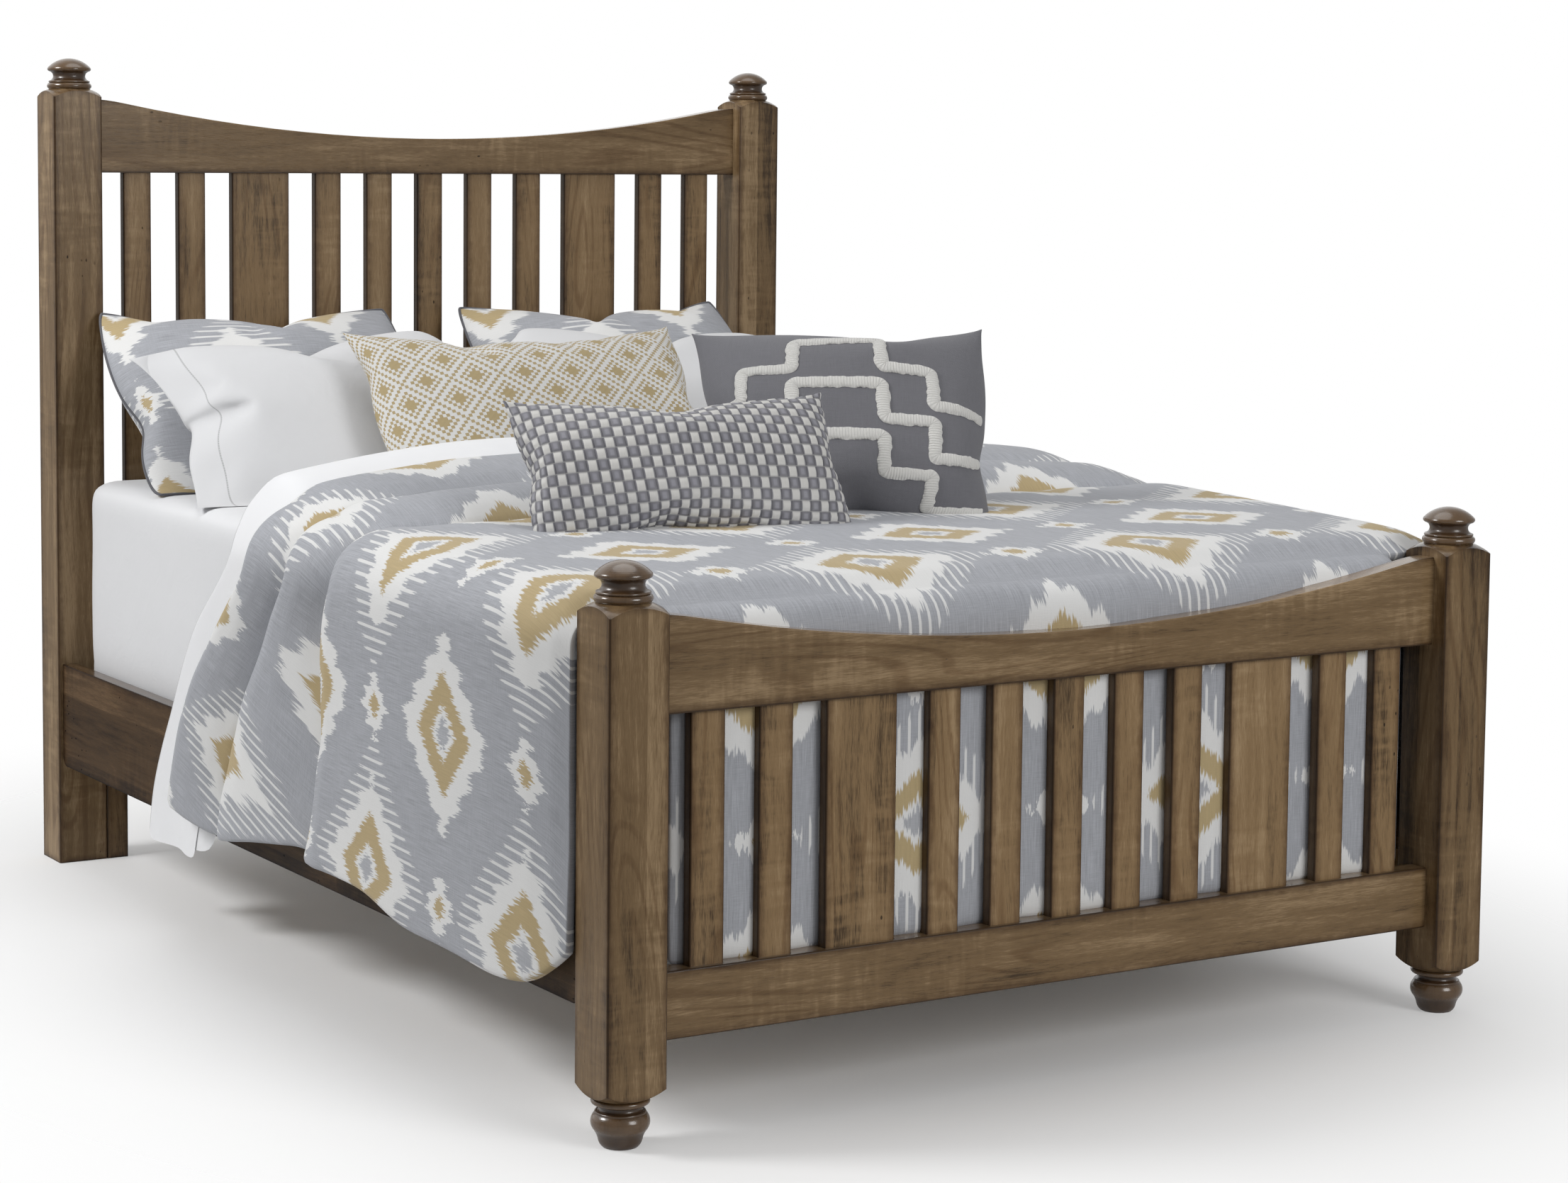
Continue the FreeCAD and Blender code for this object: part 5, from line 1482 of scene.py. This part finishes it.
class POSTERBED_OT_pillows(bpy.types.Operator):
    """Make the two white pillows in their cases, with a flat hem at the open end"""

    bl_idname = "poster_bed.pillows"
    bl_label = "Make the sleeping pillows"

    def execute(self, context):
        seam = PILLOW_HEM - PILLOW_SIZE[0] / 2
        # The pillowcases take the white cotton darkened to 0.86: a painted shade.
        case = pillowcase("pillowcase_cotton", toned(settings().bedding.white, 0.86), seam)

        def limp(x):
            return np.clip((x - seam + LIMP_BEFORE) / LIMP_OVER, LIMP_LEAST_SHARE, 1.0)

        form = cushion_form(PILLOW_SIZE, PILLOW_FILLING, limp)
        for side, flip in PAIR:
            node = f"pillow_{side}"
            points = stacked(form, node, PILLOW_ROW, flip)
            pillow = make_object(f"{node}_form", points, form.faces[:, ::flip], form.cloth)
            dress(pillow, case, "sleeping_pillows", "white_cotton", node)
        return {"FINISHED"}


class POSTERBED_OT_diamond_cushion(bpy.types.Operator):
    """Make the long cushion with woven diamonds"""

    bl_idname = "poster_bed.diamond_cushion"
    bl_label = "Make the diamond cushion"

    def execute(self, context):
        form = cushion_form(DIAMOND_SIZE, DIAMOND_FILLING)
        points = stacked(form, "diamond_cushion", DIAMOND_ROW)
        cushion = make_object("diamond_cushion_form", points, form.faces, form.cloth)
        cover = diamond_cloth("diamond_weave_cloth", diamond_look())
        dress(cushion, cover, "diamond_cushion", "diamond_weave", "diamond_cushion")
        return {"FINISHED"}


class POSTERBED_OT_grey_cushion(bpy.types.Operator):
    """Make the square linen cushion with its stepped, fringed tapes"""

    bl_idname = "poster_bed.grey_cushion"
    bl_label = "Make the grey cushion"

    def execute(self, context):
        cushions = settings().cushions
        form = cushion_form(GREY_SIZE, GREY_FILLING)
        points = laid(form.points, GREY_MIDDLE, GREY_LEAN, DUVET_REST)
        cushion = make_object("grey_cushion_form", points, form.faces, form.cloth)
        cover = linen("grey_linen_cloth", tuple(cushions.linen), toned(cushions.linen, 0.55))
        dress(cushion, cover, "grey_cushion", "grey_linen", "grey_cushion")
        rng = np.random.default_rng(FRINGE_SEED)
        trim = tape("fringed_tape", tuple(cushions.tape))
        edge = GREY_SIZE[0] / 2 - TAPE_INSET
        for number, low in enumerate(TAPE_STARTS, start=1):
            corners = np.cumsum([(-edge, low), *TAPE_STEPS], axis=0)
            corners[:, 0] = np.clip(corners[:, 0], -edge, edge)
            strip = tape_strip(points[form.front], GREY_SIZE, corners, cushions.tape_width, rng)
            dress(make_object(f"grey_cushion_tape_{number}", *strip), trim, "grey_cushion", "white_cotton")
        return {"FINISHED"}


# Half the width of the woven ribbons and the width of their rounded edges, as shares of the pitch, and
# how high the wide ones stand beside the narrow ones.
NARROW_HALF_SHARE, WIDE_HALF_SHARE, RIBBON_EDGE_SHARE, WIDE_RISE_SHARE = 0.46, 0.50, 0.08, 0.8


class POSTERBED_OT_lumbar_cushion(bpy.types.Operator):
    """Make the small cushion woven from ribbons"""

    bl_idname = "poster_bed.lumbar_cushion"
    bl_label = "Make the ribbon cushion"

    relief: length_setting("Relief", "How far the ribbons bulge where they lie on top", 0.0022)

    def execute(self, context):
        look = ribbon_look()
        form = cushion_form(LUMBAR_SIZE, LUMBAR_FILLING)
        points = laid(form.points, LUMBAR_MIDDLE, LUMBAR_LEAN, DUVET_REST)
        cushion = make_object("lumbar_cushion_form", points, form.faces, form.cloth, 2)

        def over_under(u, v):
            column, row = u / look["pitch"][0], v / look["pitch"][1]
            in_u, in_v = column % 1 - 0.5, row % 1 - 0.5
            cream = (np.floor(column) + np.floor(row)) % 2 > 0.5
            upright = np.cos(math.pi * in_v)
            upright *= np.clip((NARROW_HALF_SHARE - np.abs(in_u)) / RIBBON_EDGE_SHARE, 0, 1)
            level = np.sqrt(np.abs(np.cos(math.pi * in_u)))
            level *= np.clip((WIDE_HALF_SHARE - np.abs(in_v)) / RIBBON_EDGE_SHARE, 0, 1)
            return self.relief * np.where(cream, upright, level * WIDE_RISE_SHARE)

        raised(cushion, over_under)
        cover = ribbons("ribbon_weave_cloth", look)
        dress(cushion, cover, "lumbar_cushion", "ribbon_weave", "lumbar_cushion")
        return {"FINISHED"}


# Place and size of each lamp, in metres, and the point that all of them face.
LAMPS = {
    "key": ((-4.3, 1.0, 3.6), 1.6),
    "front": ((1.3, -5.7, 2.6), 2.6),
    "top": ((0.2, 0.3, 5.0), 3.6),
}
LAMP_AIM = (0, 0, 0.6)
# The camera: place in metres, angles in degrees, lens and sensor in millimetres, shift of the picture
# as shares of its width, and how far it sees in metres.
CAMERA_PLACE = (-2.9673, -4.9975, 1.3726)
CAMERA_YAW, CAMERA_PITCH, CAMERA_ROLL = 30.83, 4.91, 0.47
CAMERA_LENS, CAMERA_SENSOR, CAMERA_SHIFT, CAMERA_REACH = 76.57, 36.0, (0.05, -0.10), 60.0
# How far the floor reaches each way, and how far it lies below the feet.
FLOOR_REACH, FLOOR_GAP = 6.0, 0.0005
# How much a way across and along the floor counts, and where the floor starts and ends to fade.
FLOOR_SHARES, FLOOR_FADE = (0.44, 0.27), (0.45, 1.25)


class POSTERBED_OT_stage(bpy.types.Operator):
    """Set the floor, the lamps and the camera"""

    bl_idname = "poster_bed.stage"
    bl_label = "Set the stage"

    mirrored: number_setting("Mirrored sky", "Strength of reflections from before the bed", 0.38, max=1.0)

    def execute(self, context):
        scene = context.scene
        stage = settings().stage
        scene.view_settings.view_transform = "Standard"
        self.floor(tuple(stage.floor))
        scene.world = self.sky(stage.sky)
        for name, (place, size) in LAMPS.items():
            self.lamp(scene, f"{name}_lamp", place, size, getattr(stage, name))
        self.camera(scene)
        return {"FINISHED"}

    def floor(self, colour):
        """A floor that fades away round the bed."""
        ways = ((-1, -1), (1, -1), (1, 1), (-1, 1))
        corners = [(x * FLOOR_REACH, y * FLOOR_REACH, -FLOOR_GAP) for x, y in ways]
        floor = make_object("studio_floor", corners, [(0, 1, 2, 3)], subdivide=0)
        g = material_graph("studio_floor_paint")
        x, y, z = g.place()
        paint = g.mix(g.noise(g.vector(x, y, z), 3.0, 2.0) * 0.3, colour, toned(colour, 0.97))
        floor.data.materials.append(g.finish(Base_Color=paint, Roughness=0.7))
        away = g.math("SQRT", x * x * FLOOR_SHARES[0] + y * y * FLOOR_SHARES[1])
        painted = Value(g, g.shader.outputs[0])
        clear = g.node("ShaderNodeBsdfTransparent")
        shown = g.node("ShaderNodeMixShader", None, {0: g.step(away, *FLOOR_FADE), 1: painted, 2: clear})
        g.feed(g.tree.nodes["Material Output"].inputs["Surface"], shown)

    def sky(self, strength):
        """White to the eye, an even light on the bed, and dimmer in reflections before the bed."""
        g = Graph(bpy.data.worlds.new("studio_sky"), "Background")
        rays = ("Is Camera Ray", "Is Transmission Ray", "Is Glossy Ray")
        camera, through, mirrored = g.node("ShaderNodeLightPath", output=rays)
        seen = g.most(camera, through)
        y, z = g.split(g.node("ShaderNodeTexCoord", output="Generated"), ("Y", "Z"))
        behind = g.step(y, 0.25, 0.80) * g.step(z, 0.0, 0.08)
        level = strength + mirrored * (self.mirrored + behind * (1.0 - self.mirrored) - strength)
        return g.finish(Strength=seen + (1.0 - seen) * level, Color=grey(1.0))

    def lamp(self, scene, name, place, size, power):
        data = bpy.data.lights.new(name, "AREA")
        data.shape = "DISK"
        data.size = size
        data.energy = power
        item = bpy.data.objects.new(name, data)
        item.location = place
        aim = Vector(LAMP_AIM) - Vector(place)
        item.rotation_euler = aim.to_track_quat("-Z", "Y").to_euler()
        scene.collection.objects.link(item)

    def camera(self, scene):
        yaw, pitch, roll = (math.radians(angle) for angle in (CAMERA_YAW, CAMERA_PITCH, CAMERA_ROLL))
        ahead = Vector((math.sin(yaw) * math.cos(pitch), math.cos(yaw) * math.cos(pitch), -math.sin(pitch)))
        right = Vector((math.cos(yaw), -math.sin(yaw), 0))
        up = right.cross(ahead)
        across = right * math.cos(roll) + up * math.sin(roll)
        above = up * math.cos(roll) - right * math.sin(roll)
        turn = Matrix((across, above, -ahead)).transposed()
        data = bpy.data.cameras.new("photo_camera")
        data.lens = CAMERA_LENS
        data.sensor_width = CAMERA_SENSOR
        data.shift_x, data.shift_y = CAMERA_SHIFT
        data.clip_end = CAMERA_REACH
        camera = bpy.data.objects.new("photo_camera", data)
        camera.matrix_world = Matrix.Translation(CAMERA_PLACE) @ turn.to_4x4()
        scene.collection.objects.link(camera)
        scene.camera = camera


OPERATORS = (
    POSTERBED_OT_wood,
    POSTERBED_OT_mattress,
    POSTERBED_OT_sheet,
    POSTERBED_OT_duvet,
    POSTERBED_OT_shams,
    POSTERBED_OT_pillows,
    POSTERBED_OT_diamond_cushion,
    POSTERBED_OT_grey_cushion,
    POSTERBED_OT_lumbar_cushion,
    POSTERBED_OT_stage,
)


class POSTERBED_PT_panel(bpy.types.Panel):
    """The steps that finish the bed, in order"""

    bl_label = "Poster bed"
    bl_idname = "POSTERBED_PT_panel"
    bl_space_type = "VIEW_3D"
    bl_region_type = "UI"
    bl_category = "Poster bed"

    def draw(self, context):
        for operator in OPERATORS:
            self.layout.operator(operator.bl_idname)


CLASSES = (
    WoodSettings,
    BeddingSettings,
    CushionSettings,
    StageSettings,
    BedSettings,
    *OPERATORS,
    POSTERBED_PT_panel,
)


def register():
    for item in CLASSES:
        bpy.utils.register_class(item)
    bpy.types.Scene.poster_bed = group_setting(BedSettings, "Poster bed", "Settings of the poster bed")


def unregister():
    del bpy.types.Scene.poster_bed
    for item in reversed(CLASSES):
        bpy.utils.unregister_class(item)


def main():
    register()
    for operator in OPERATORS:
        group, name = operator.bl_idname.split(".")
        getattr(getattr(bpy.ops, group), name)()


if __name__ == "__main__":
    main()
